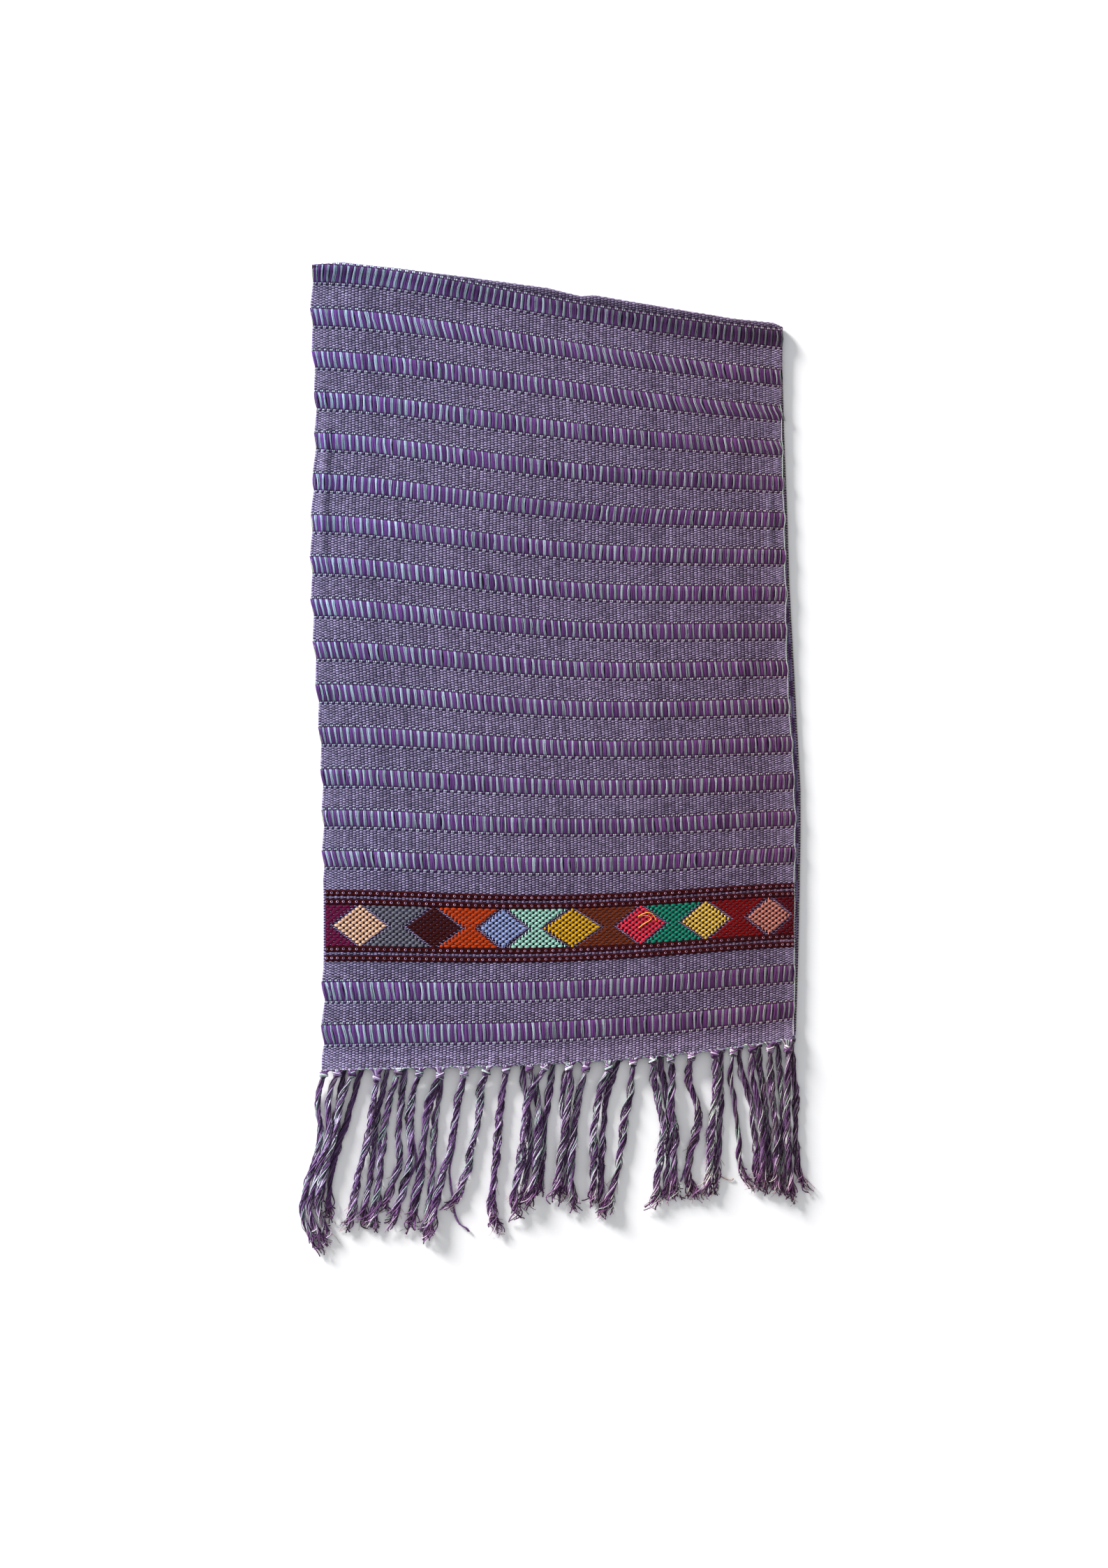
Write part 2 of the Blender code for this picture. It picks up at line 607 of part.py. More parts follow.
def build_fringes(finish_front, finish_back):
    """Both fringes; the front's locks rise where they cross the back's."""
    u = np.linspace(SELVEDGE, 1 - SELVEDGE, 17)
    below = SEAM + STRIP_RADIUS
    front_x, front_y = weft_line(u, np.full_like(u, CLOTH_END))
    front_edge = np.stack([front_x, front_y - below, np.full_like(u, KNOT_HEIGHT)], axis=-1)
    selvedge = np.array(BACK_SELVEDGE)[::-1]
    back_y = back_edge(u)
    left = WEFT_LINES[-1][6] + BACK_LEFT_INSET
    right = np.interp(back_y[-1], selvedge[:, 0], selvedge[:, 1])
    back_x = left + (right - left) * u
    back_strip = np.stack([back_x, back_y - below, np.full_like(u, BACK_HEIGHT)], axis=-1)

    back_rows = np.array(BACK_TASSELS, float)
    back_knot_y = np.interp(back_rows[:, 1], back_x, back_y) - SEAM - BACK_KNOT[1]
    back = tassel_routes(back_knot_y, BACK_TASSELS)
    back_knots = [(x, y, BACK_HEIGHT) for x, y in zip(back_rows[:, 1], back_knot_y)]
    back_locks = []
    for x, y, width in zip(*back):
        z = np.full_like(x, BACK_HEIGHT)
        back_locks += split_tassel(x, y, z, width, BACK_LOCK_HALF_HEIGHT)

    front_rows = np.array(FRONT_TASSELS, float)
    highest = np.interp(front_rows[:, 2], front_x, front_y) - SEAM - FRONT_KNOT[1]
    front_knot_y = np.minimum(front_rows[:, 0], highest)
    front = tassel_routes(front_knot_y, [row[1:] for row in FRONT_TASSELS])
    front_knots = [(x, y, KNOT_HEIGHT) for x, y in zip(front_rows[:, 2], front_knot_y)]
    front_locks = []
    for x, y, width in zip(*front):
        over = crossing(x, y, width, back)
        z = np.where(over, LOCK_OVER, LOCK_DOWN)
        z[0] = KNOT_HEIGHT
        front_locks += split_tassel(x, y, z, width, LOCK_HALF_HEIGHT)

    necks = [neck(front_edge, knot) for knot in front_knots]
    build_fringe(
        "fringe_front", front_edge, front_knots, FRONT_KNOT, necks, front_locks, finish_front
    )
    build_fringe("fringe_back", back_strip, back_knots, BACK_KNOT, [], back_locks, finish_back)


def main():
    for old in list(bpy.data.objects):
        bpy.data.objects.remove(old, do_unlink=True)
    build_front(material("striped_cotton", (0.13, 0.055, 0.15), 0.9))
    build_back(material("striped_cotton_under", (0.09, 0.04, 0.10), 0.9))
    build_band()
    build_fringes(
        material("fringe_yarn", (0.16, 0.09, 0.18), 0.9),
        material("fringe_yarn_under", (0.11, 0.06, 0.13), 0.9),
    )


main()
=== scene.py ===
import math

import bpy
import numpy as np
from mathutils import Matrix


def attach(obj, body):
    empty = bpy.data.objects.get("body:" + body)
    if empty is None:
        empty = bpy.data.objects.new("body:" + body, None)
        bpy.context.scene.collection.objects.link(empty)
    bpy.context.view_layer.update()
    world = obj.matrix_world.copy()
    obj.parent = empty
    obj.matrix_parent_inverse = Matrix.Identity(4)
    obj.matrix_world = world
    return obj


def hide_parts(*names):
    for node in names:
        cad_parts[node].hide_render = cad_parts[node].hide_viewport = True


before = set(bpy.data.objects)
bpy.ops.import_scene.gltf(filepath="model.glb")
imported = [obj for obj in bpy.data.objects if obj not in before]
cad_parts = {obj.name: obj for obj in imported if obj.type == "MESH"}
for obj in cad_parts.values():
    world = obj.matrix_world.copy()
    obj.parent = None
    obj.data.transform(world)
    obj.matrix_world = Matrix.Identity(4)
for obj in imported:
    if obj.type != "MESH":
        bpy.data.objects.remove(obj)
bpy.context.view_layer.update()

# The camera. It looks straight down from 4 m, as the photograph was taken from above the
# table, and the frame is as wide as 1587 pixels at two thirds of a millimetre each.
camera = bpy.data.cameras.new("overhead")
camera.sensor_width = 36.0
camera.lens = 96.2
camera_object = bpy.data.objects.new("overhead", camera)
camera_object.location = (-0.00115, -0.0254, 4.0)
camera_object.rotation_euler = (0, 0, 0)
bpy.context.scene.collection.objects.link(camera_object)
bpy.context.scene.camera = camera_object
bpy.context.scene.view_settings.view_transform = "Standard"
bpy.context.scene.view_settings.look = "None"


# The ground cloth, front half. One width of hand-loomed cotton, folded once across.
# This is the half that lies face up, with the fold at +Y: a thin plain weave that
# turns over the fold and back under itself, and carries every stripe and motif.
MM = 0.001
CENTRE = np.array([1.82, -0.92, 0.0])  # middle of the laid shawl in these tables' millimetres
WIDTH = 450.0  # selvedge to selvedge
PITCH = 38.3  # one stripe repeat along the cloth
PLY = 1.6  # the plain weave's thickness
FOLD_RADIUS = 1.2  # inside the fold
FRONT_REST = 2.3  # height of the front half's underside over the table
FOLD_SETTLE = 26.0  # it sinks from the fold to its rest over this
FOLD_LEFT = -229.6  # x of the left selvedge at the fold
FOLD_WIDTH = 447.9  # from there to the right selvedge
LOWER_LEG = 3.2  # least length of cloth that the fold turns under
BARE_PAST = 5.2  # no yarns lie on the cloth past this far round the fold
EDGE_LIFT = 1.9  # the knots beneath lift the front's end,
EDGE_LIFT_REACH = 0.45  # which fades over this many repeats
CLOTH_END = 20.0  # in repeats
BAND_SPREAD = 0.21  # half a float band in the ground and the selvedge, in repeats
LOWER_BANDS = 17  # the two float bands past this repeat are the lower ones
SWELL = (0.25, 1.2, 0.13)  # height, waves across, waves along one repeat
WEFT_LINES = np.array([
    # repeat, y at the left selvedge, quarter, middle, three quarters, right; x of both selvedges
    (1.0, 461.0, 449.5, 429.3, 411.3, 397.9, -229.6, 218.3),
    (2.0, 419.3, 409.2, 391.5, 374.6, 361.0, -230.4, 217.8),
    (4.0, 339.9, 329.2, 313.4, 301.7, 293.7, -226.6, 218.8),
    (7.0, 222.7, 212.4, 198.6, 192.0, 190.2, -230.4, 221.9),
    (10.0, 101.5, 94.5, 84.5, 82.3, 83.9, -227.5, 223.7),
    (13.0, -20.0, -23.5, -29.2, -28.6, -23.8, -220.5, 230.2),
    (15.0, -97.5, -100.7, -103.6, -99.8, -93.5, -219.2, 231.1),
    (18.2, -224.1, -224.1, -222.5, -215.5, -206.5, -219.1, 230.7),
    (20.0, -298.7, -296.0, -292.0, -283.5, -268.5, -220.5, 229.5),
])
ACROSS = (0.0, 0.25, 0.5, 0.75, 1.0)
FOLD_LINE = np.array([
    # across, y
    (0.00, 469.2), (0.06, 471.4), (0.17, 466.0), (0.33, 457.0), (0.50, 446.7), (0.57, 438.9),
    (0.60, 439.8), (0.75, 428.3), (0.90, 417.2), (0.98, 413.6), (1.00, 409.5),
])
CREASES = (
    # across, first repeat, last repeat, half width in mm, height
    (0.022, 4.0, 8.4, 5.0, 1.1),
    (0.965, 4.8, 7.4, 5.0, 0.9),
    (0.570, 0.8, 2.6, 9.0, 0.8),
    (0.320, 6.0, 13.0, 26.0, 0.6),
    (0.700, 9.0, 17.0, 30.0, 0.6),
)
CREASE_FADE = 1.2
FOLDS = np.array([
    # soft ridges and troughs: across and repeat at one end, at the other, half width in mm, height
    (0.58, 0.6, 0.61, 2.1, 6.0, -0.50),
    (0.03, 1.6, 0.26, 1.3, 9.0, 0.45),
    (0.66, 1.3, 0.93, 1.6, 10.0, -0.45),
    (0.02, 3.2, 0.12, 4.4, 7.0, -0.40),
    (0.15, 5.0, 0.44, 5.7, 16.0, 0.40),
    (0.97, 3.0, 0.86, 4.6, 9.0, 0.45),
    (0.52, 7.4, 0.81, 6.9, 18.0, -0.40),
    (0.03, 8.8, 0.17, 10.3, 9.0, 0.45),
    (0.36, 10.2, 0.63, 10.8, 14.0, 0.35),
    (0.99, 9.1, 0.88, 11.0, 8.0, -0.40),
    (0.08, 12.4, 0.30, 13.1, 12.0, -0.35),
    (0.55, 13.6, 0.92, 13.2, 15.0, 0.40),
    (0.97, 15.2, 0.80, 15.5, 7.0, 0.35),
    (0.10, 18.4, 0.42, 18.8, 13.0, 0.35),
    (0.60, 19.1, 0.97, 18.5, 11.0, -0.35),
])
FOLDS_FADE = 25.0  # they run out over this at both ends, in mm
SCALLOP_LEFT = (1.1, 1.6)  # how far an upper and a lower float band slant the left selvedge, in mm
SCALLOP_RIGHT = 1.2  # how far each float band bows the right selvedge out
DYE_GAIN = 1.12  # the light here is this much dimmer than white
PALEST = 0.95  # no dye is lighter


def spline(knots, values, at):
    """Natural cubic spline through values at knots, straight beyond both ends."""
    step = np.diff(knots)
    count = len(knots)
    matrix = np.eye(count)
    right = np.zeros(count)
    for row in range(1, count - 1):
        matrix[row, row - 1 : row + 2] = (step[row - 1], 2 * (step[row - 1] + step[row]), step[row])
        slopes = np.diff(values[row - 1 : row + 2]) / step[row - 1 : row + 1]
        right[row] = 6 * (slopes[1] - slopes[0])
    bend = np.linalg.solve(matrix, right)
    inside = np.clip(at, knots[0], knots[-1])
    cell = np.clip(np.searchsorted(knots, inside, "right") - 1, 0, count - 2)
    width = step[cell]
    near = (knots[cell + 1] - inside) / width
    far = 1 - near
    curve = near * values[cell] + far * values[cell + 1]
    curve = curve + ((near**3 - near) * bend[cell] + (far**3 - far) * bend[cell + 1]) * width**2 / 6
    first = (values[1] - values[0]) / step[0] - step[0] * bend[1] / 6
    last = (values[-1] - values[-2]) / step[-1] + step[-1] * bend[-2] / 6
    beyond = at - inside
    return curve + np.where(beyond < 0, first, last) * beyond


def smooth(t):
    """Ease from 0 to 1 as t goes from 0 to 1."""
    t = np.clip(t, 0.0, 1.0)
    return t * t * (3 - 2 * t)


def from_band(repeat):
    """Signed distance, in repeats, from the middle of the nearest float band."""
    upper = repeat - np.clip(np.round(repeat), 1, 15)
    lower = repeat - 0.2 - np.clip(np.round(repeat - 0.2), 18, 19)
    return np.where(np.abs(upper) < np.abs(lower), upper, lower)


def weft_line(across, repeat):
    """Plan x and y: a spline along the cloth at five places, a quartic through them across it.
    Both selvedges are scalloped by the float bands."""
    lines = [spline(WEFT_LINES[:, 0], column, repeat) for column in WEFT_LINES[:, 1:].T]
    y = np.zeros(np.broadcast(across, repeat).shape)
    for line, place in zip(lines, ACROSS):
        others = [other for other in ACROSS if other != place]
        y = y + line * np.prod([(across - other) / (place - other) for other in others], axis=0)
    left, right = lines[5:]
    away = from_band(repeat)
    outside = np.sign(away) * (0.5 - np.abs(away)) / (0.5 - BAND_SPREAD)
    slant = np.where(np.abs(away) < BAND_SPREAD, away / BAND_SPREAD, outside)
    slant = np.where(np.abs(away) > 0.5, 0, slant) * np.where(repeat > LOWER_BANDS, *SCALLOP_LEFT[::-1])
    slant = slant * np.exp(-np.abs(across) / 0.02)
    bow = SCALLOP_RIGHT * np.exp(-((away / 0.16) ** 2)) * np.exp(-np.abs(1 - across) / 0.02)
    return left + (right - left) * across + slant + bow, y


def fold_start(across):
    """Plan y where the cloth starts to turn over the fold."""
    return np.interp(across, FOLD_LINE[:, 0], FOLD_LINE[:, 1]) - FOLD_RADIUS - PLY


def past_fold(across, repeat):
    """Millimetres of cloth between the fold's start and a point beyond it."""
    return weft_line(across, repeat)[1] - fold_start(across)


def fold_repeat(across, past):
    """The repeat of a point that is so many millimetres of cloth past the fold's start."""
    first = weft_line(across, np.ones_like(across))[1]
    before = weft_line(across, np.zeros_like(across))[1]
    return 1 - (fold_start(across) + past - first) / (before - first)


def ridges(x, along, rows, scale, fade):
    """Sum of ridges: each is a bell across its line, faded out at both ends of it. Scale turns
    the ends of the lines into millimetres."""
    height = np.zeros(np.broadcast(x, along).shape)
    for row in rows:
        start = row[:2] * scale
        run = row[2:4] * scale - start
        length = np.hypot(*run)
        down = ((x - start[0]) * run[0] + (along - start[1]) * run[1]) / length
        aside = ((x - start[0]) * run[1] - (along - start[1]) * run[0]) / length
        ends = smooth(down / fade) * smooth((length - down) / fade)
        height = height + row[5] * ends * np.exp(-((aside / row[4]) ** 2))
    return height


def lift(across, repeat):
    """How far the swell, the creases and the knots under the end raise the front half."""
    wave = np.sin(2 * math.pi * (SWELL[1] * across + SWELL[2] * repeat))
    height = SWELL[0] * (1 + wave)
    for place, first, last, half, top in CREASES:
        side = np.exp(-(((across - place) * WIDTH / half) ** 2))
        along = smooth((repeat - first) / CREASE_FADE) * smooth((last - repeat) / CREASE_FADE)
        height = height + top * side * along
    folds = ridges(across * WIDTH, repeat * PITCH, FOLDS, (WIDTH, PITCH), FOLDS_FADE)
    height = np.maximum(height + folds, -0.1)
    return height + EDGE_LIFT * smooth(1 - (CLOTH_END - repeat) / EDGE_LIFT_REACH)


def on_front(across, repeat, outward):
    """Points of the front half, outward millimetres outside its inner face. It lies flat up
    to the fold's start, then goes round a half circle and back under itself on the floor."""
    x, y = weft_line(across, repeat)
    start = fold_start(across)
    past = y - start
    middle = FOLD_RADIUS + PLY / 2
    turn = np.clip(past / middle, 0, math.pi)
    under = np.maximum(past - math.pi * middle, 0)
    centre = FOLD_RADIUS + PLY
    settle = smooth(-past / FOLD_SETTLE)
    rest = FRONT_REST + lift(across, repeat)
    flat = (centre + FOLD_RADIUS) * (1 - settle) + rest * settle + outward
    radius = FOLD_RADIUS + outward
    out_y = start + radius * np.sin(turn) - under + np.minimum(past, 0)
    out_z = np.where(past < 0, flat, centre + radius * np.cos(turn))
    return np.stack([x, out_y, np.maximum(out_z, 0)], axis=-1)


def place_piece(name, points, faces, finish):
    """A smooth-shaded piece on body root, from points in millimetres and whole arrays of faces."""
    mesh = bpy.data.meshes.new(name)
    mesh.from_pydata(((points - CENTRE) * MM).tolist(), [], faces.tolist())
    mesh.polygons.foreach_set("use_smooth", np.ones(len(faces), bool))
    mesh.materials.append(finish)
    piece = bpy.data.objects.new(name, mesh)
    bpy.context.scene.collection.objects.link(piece)
    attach(piece, "root")
    return piece


def closed_sheet(name, place, ply, across, repeat, drawn, finish):
    """A closed thin shell between two point grids, a ply apart, whose columns run across and rows
    along. Its map holds metres across and stripe repeats along; drawn says where no yarns lie on
    it."""
    rows, columns = across.shape
    index = np.arange(rows * columns).reshape(rows, columns)
    a, b, c, d = index[:-1, :-1], index[:-1, 1:], index[1:, 1:], index[1:, :-1]
    below = np.stack([a, b, c, d], axis=-1).reshape(-1, 4)
    above = np.stack([a, d, c, b], axis=-1).reshape(-1, 4) + rows * columns
    ring = np.concatenate([index[0, :-1], index[:-1, -1], index[-1, :0:-1], index[:0:-1, 0]])
    after = np.roll(ring, -1)
    rim = np.stack([after, ring, ring + rows * columns, after + rows * columns], axis=-1)
    faces = np.concatenate([below, above, rim])
    points = np.concatenate([place(across, repeat, out).reshape(-1, 3) for out in (0.0, ply)])
    piece = place_piece(name, points, faces, finish)
    flat = np.stack([across * WIDTH * MM, repeat], axis=-1).reshape(-1, 2)
    layer = piece.data.uv_layers.new(name="weave")
    layer.data.foreach_set("uv", np.concatenate([flat, flat])[faces.ravel()].ravel())
    shown = piece.data.attributes.new("drawn", "FLOAT", "POINT")
    shown.data.foreach_set("value", np.concatenate([np.ones(rows * columns), drawn.ravel()]))
    return piece


def dyed(red, green, blue):
    """A colour as seen, 0 to 255, as the linear values of a dye that looks so in this light."""
    seen = np.array([red, green, blue], float) / 255
    seen = np.where(seen <= 0.04045, seen / 12.92, ((seen + 0.055) / 1.055) ** 2.4)
    return np.minimum(DYE_GAIN * seen, PALEST)


def node(tree, kind, sockets=(), **settings):
    """A new node with its settings. Its sockets are given by name or number, each with the
    socket that feeds it, a number or a linear colour."""
    made = tree.nodes.new("ShaderNode" + kind)
    for key, value in settings.items():
        setattr(made, key, value)
    for key, value in dict(sockets).items():
        if hasattr(value, "is_linked"):
            tree.links.new(value, made.inputs[key])
        else:
            colour = made.inputs[key].type == "RGBA"
            made.inputs[key].default_value = (*value, 1.0) if colour else value
    return made


def figure(tree, operation, *values):
    """A Math node on sockets or plain numbers."""
    return node(tree, "Math", dict(enumerate(values)), operation=operation).outputs[0]


def blended(tree, share, one, two):
    """A colour mixed from one to two by share; each is a socket or a linear colour."""
    return node(tree, "Mix", {0: share, 6: one, 7: two}, data_type="RGBA").outputs[2]


def noise(tree, **sockets):
    """Smooth noise fixed to the piece."""
    place = node(tree, "TexCoord").outputs["Object"]
    return node(tree, "TexNoise", {"Vector": place, **sockets}).outputs[0]


def cotton(name, roughness, sheen):
    """A matt cotton finish: soft roughness, and a faint sheen from the nap."""
    made = bpy.data.materials.new(name)
    made.use_nodes = True
    shader = made.node_tree.nodes["Principled BSDF"]
    shader.inputs["Roughness"].default_value = roughness
    shader.inputs["Specular IOR Level"].default_value = 0.06
    shader.inputs["Sheen Weight"].default_value = sheen
    shader.inputs["Sheen Roughness"].default_value = 0.5
    return made, made.node_tree, shader


def surface(tree, shader, colour, height, strength, distance):
    """Feeds the shader its colour, and a bump from the height."""
    relief = node(tree, "Bump", {"Strength": strength, "Distance": distance, "Height": height})
    tree.links.new(colour, shader.inputs["Base Color"])
    tree.links.new(relief.outputs[0], shader.inputs["Normal"])


def woven_ground(name, floats_shift):
    """The weave as it shows where no yarns are modelled: float bands of purple and mint bundles,
    and brick-laid lavender dashes between them, with painted shade in the gaps between the dashes and
    in the grooves between warp yarns. Under modelled yarns it is plain dark ground, darkened as
    painted shade between the yarns laid on it."""
    made, tree, shader = cotton(name, 0.9, 0.04)
    flat = node(tree, "SeparateXYZ", {0: node(tree, "UVMap", uv_map="weave").outputs[0]})
    across = figure(tree, "MULTIPLY", flat.outputs[0], 1 / MM)
    along = figure(tree, "ADD", flat.outputs[1], floats_shift)
    away = figure(tree, "ABSOLUTE", figure(tree, "SUBTRACT", along, figure(tree, "ROUND", along)))
    floats = figure(tree, "LESS_THAN", away, BAND_SPREAD)
    bundle = figure(tree, "FRACT", figure(tree, "DIVIDE", across, 6.5))
    mint = figure(tree, "LESS_THAN", bundle, 0.38)
    yarn = figure(tree, "ABSOLUTE", figure(tree, "SINE", figure(tree, "MULTIPLY", across, 4.2)))
    turned = node(tree, "CombineXYZ", {0: figure(tree, "MULTIPLY", along, PITCH), 1: across})
    looks = {"Vector": turned.outputs[0], "Scale": 1.0, "Brick Width": 2.47, "Row Height": 3.26}
    # The dark mortar between the dashes is painted shade.
    looks |= {"Mortar Size": 0.42, "Mortar Smooth": 0.35, "Mortar": dyed(60, 45, 88)}
    looks |= {"Color1": dyed(150, 138, 180), "Color2": dyed(128, 115, 160)}
    bricks = node(tree, "TexBrick", looks, offset=0.5, offset_frequency=2, squash=1.0)
    warp = blended(tree, mint, dyed(88, 45, 112), dyed(150, 185, 170))
    # Painted shade: the warp darkens into the grooves between its yarns.
    warp = blended(tree, figure(tree, "MULTIPLY_ADD", yarn, 0.45, 0.1), dyed(48, 26, 58), warp)
    pattern = blended(tree, floats, bricks.outputs[0], warp)
    # The bare ground's darkness is painted shade between the modelled yarns; bluer to the left and browner to
    # the right like the painted light falloff.
    plum = figure(tree, "DIVIDE", across, WIDTH)
    dark = blended(tree, plum, dyed(38, 36, 61), dyed(45, 24, 43))
    shaded_bare_ground = blended(tree, floats, dark, dyed(26, 12, 34))
    own = node(tree, "Attribute", attribute_name="drawn").outputs["Fac"]
    fade = figure(tree, "MULTIPLY_ADD", noise(tree, Scale=14.0), 0.16, -0.05)
    colour = blended(tree, fade, blended(tree, own, shaded_bare_ground, pattern), dyed(96, 80, 116))
    raised = figure(tree, "SUBTRACT", 1.0, bricks.outputs[1])
    raised = figure(tree, "MULTIPLY", raised, figure(tree, "SUBTRACT", 1.0, floats))
    raised = figure(tree, "ADD", raised, figure(tree, "MULTIPLY", yarn, floats))
    surface(tree, shader, colour, figure(tree, "MULTIPLY", raised, own), 0.6, 0.0004)
    return made


columns = np.concatenate([[0, 0.004, 0.012], np.linspace(0.025, 0.975, 62), [0.988, 0.996, 1]])
middle_arc = math.pi * (FOLD_RADIUS + PLY / 2)
x_first = weft_line(columns, fold_repeat(columns, middle_arc))[0]
seam_left = fold_start(0.0) - LOWER_LEG
seam_right = fold_start(1.0) - LOWER_LEG
seam = seam_left + (seam_right - seam_left) * (x_first - FOLD_LEFT) / FOLD_WIDTH
leg = fold_start(columns) - seam
over_rows = [fold_repeat(columns, middle_arc + leg), fold_repeat(columns, middle_arc + leg * 0.4)]
over_rows += [fold_repeat(columns, middle_arc * share) for share in np.linspace(1, 0, 9)]
fold_edge = over_rows[-1]
over_rows += [fold_edge + (1 - fold_edge) * share for share in (0.25, 0.5, 0.75)]
flat_rows = [np.full_like(columns, repeat) for repeat in np.linspace(1, CLOTH_END, 134)]
front_v = np.array(over_rows + flat_rows)
front_u = np.tile(columns, (len(front_v), 1))
turned_under = (past_fold(front_u, front_v) > BARE_PAST).astype(float)
front_finish = woven_ground("ground_cotton", 0.0)
cloth_front = closed_sheet("ground_cloth_front", on_front, PLY, front_u, front_v, turned_under, front_finish)
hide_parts("cloth_front")


# The ground cloth, back half. The same width of cloth, face down on the table under the
# front half. It starts at the seam line under the fold, and only its right selvedge shows.
BACK_PLY = 1.9  # its thickness
BACK_INSET = 4.0  # it hides this far inside the front's left selvedge
BACK_START = 0.9  # in repeats, where it starts
BACK_GAP = 0.75  # and how far that lies from the seam under the fold
BACK_END = (9.0, 2.5)  # how far its end stops short of the front's, left and right
BACK_SELVEDGE = np.array([
    # y, x
    (-266, 231.2), (-183, 233.7), (-77, 235.7), (-33, 235.7), (35, 232), (88, 229.2),
    (160, 225.2), (232, 223), (310, 220), (400, 217.5),
])
BACK_FOLDS = np.array([
    # soft ridges: across and y at one end, at the other, half width, height
    (0.10, 380, 0.34, 300, 14, 0.30),
    (0.55, 330, 0.90, 260, 18, 0.25),
    (0.15, 150, 0.30, -40, 16, 0.30),
    (0.70, 90, 0.62, -90, 20, 0.25),
    (0.25, -120, 0.55, -190, 15, 0.30),
    (0.80, -150, 0.93, -250, 12, 0.25),
])
BACK_FOLDS_FADE = 30.0


def back_end(across):
    """Plan y of the end of the back half."""
    y = weft_line(across, np.full_like(across, CLOTH_END))[1]
    return y + BACK_END[0] + (BACK_END[1] - BACK_END[0]) * across


def on_back(across, repeat, outward):
    """Points of the back half, outward millimetres over the floor: straight between its left edge,
    tucked inside the front's selvedge, and its own right selvedge."""
    top = seam_left + (seam_right - seam_left) * across - BACK_GAP
    t = (repeat - BACK_START) / (CLOTH_END - BACK_START)
    y = top + (back_end(across) - top) * t
    left = weft_line(np.zeros_like(across), repeat)[0] + BACK_INSET
    right = np.interp(y, BACK_SELVEDGE[:, 0], BACK_SELVEDGE[:, 1])
    x = left + (right - left) * across
    height = ridges(across * WIDTH, y, BACK_FOLDS, (WIDTH, 1), BACK_FOLDS_FADE)
    height = height * (1 - outward / BACK_PLY)
    return np.stack([x, y, outward + np.maximum(height, 0)], axis=-1)


back_u, back_v = np.meshgrid(np.linspace(0, 1, 44), np.linspace(BACK_START, CLOTH_END, 70))
whole = np.ones_like(back_u)
back_finish = woven_ground("ground_cotton_back", 0.45)
cloth_back = closed_sheet("ground_cloth_back", on_back, BACK_PLY, back_u, back_v, whole, back_finish)
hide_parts("cloth_back")


# The plain weave. Fine lavender weft over pairs of purple warp ends: in each column the weft
# rises as short light dashes, and the next column's dashes sit half a pitch lower, like
# bricks. They run over the fold and down to both ends of the cloth.
BUNDLES = 69  # warp bundles across the cloth
COLUMNS = 2 * BUNDLES  # columns of dashes
DASH_PITCH = 0.06  # from dash to dash down a column, in repeats
DASH_HALF = (1.66, 0.98)  # half length and half thickness, in mm
DASH_AT = (0.30, 0.45)  # a dash's place in its pitch, and how much lower it is in the next column
BAND_CLEAR = 0.262  # the plain weave keeps this far from the middle of a float band
FLOAT_BANDS = np.array([*range(1, 16), 18.2, 19.2])  # middles of the float bands, in repeats
FLOAT_HALF = (0.205, 0.228)  # half the height of an upper and of a lower band, in repeats
PAST_FOLD = 5.0  # yarns are laid up to this far past the fold's start, in mm
HALVES_MEET = 8.5  # the plain weave is two pieces, which meet at this repeat
PLAIN = dyed(146, 139, 172)
random = np.random.default_rng(7)
spacing_at = np.linspace(0, 1, 401)
crowding = 1 - 0.26 * np.exp(-((spacing_at / 0.055) ** 2)) - 0.32 * np.exp(-(((1 - spacing_at) / 0.05) ** 2))
threads = np.concatenate([[0], np.cumsum(crowding[1:] + crowding[:-1])])
threads = threads / threads[-1]


def thread_place(share):
    """Where a warp thread lies across the cloth: threads crowd together near both selvedges."""
    return np.interp(share, spacing_at, threads)


def light_fall(across, repeat):
    """A slow change over the cloth, partly a real change of dye and partly painted light falloff from the
    upper left: bluer and lighter to the left, browner and darker to the right and a little towards the
    fringe."""
    blue = np.array([1.025, 1.0, 1.125])
    brown = np.array([0.90, 0.615, 0.585])
    share = np.clip(np.asarray(across) + 0.009 * (np.asarray(repeat) - 10), 0, 1)[..., None]
    fade = 0.94 + 0.007 * np.asarray(repeat)[..., None]
    return (blue + (brown - blue) * share) * fade


def mottled(colour, across, repeat, low, high):
    """One dye for each short yarn, with the painted light falloff over the cloth and some chance."""
    return colour * light_fall(across, repeat) * random.uniform(low, high, len(across))[:, None]


def laid(place, u, v, out, colour, shade):
    """A group of half-round yarns on the cloth: places by yarn, step and place over the yarn, one
    dye for each yarn and its painted shade from step to step."""
    return place(*np.broadcast_arrays(u, v, out)), colour[:, None, None, :] * shade[..., None], False


def pads(place, across, repeat, half_across, half_along, base, rise, tilt, colour):
    """Low rounded pads, one for each short yarn: 4 points along the weft by 3 over it. Height is
    base at the rim and base + rise along the middle. Tilt turns a pad in the cloth's plane: one
    figure a pad, or how widely they vary."""
    if np.isscalar(tilt):
        tilt = random.normal(0, tilt, len(across))
    along = np.array([-1, -0.6, 0.6, 1])[None, :, None]
    side = np.array([1, 0, -1])[None, None, :]
    half_across, half_along = np.reshape(half_across, (-1, 1, 1)), np.reshape(half_along, (-1, 1, 1))
    u = across[:, None, None] + along * half_across / WIDTH
    v = repeat[:, None, None] + side * half_along * (1 - 0.25 * along**4) / PITCH
    v = v + tilt[:, None, None] * along / PITCH
    out = base + rise * (1 - side**2) * (1 - along**4)
    # Painted shade: each pad is darker at its rims and ends, where it rounds down into the cloth.
    return laid(place, u, v, out, colour, 1.08 * (1 - 0.32 * along**4) * (1 - 0.66 * side**2))


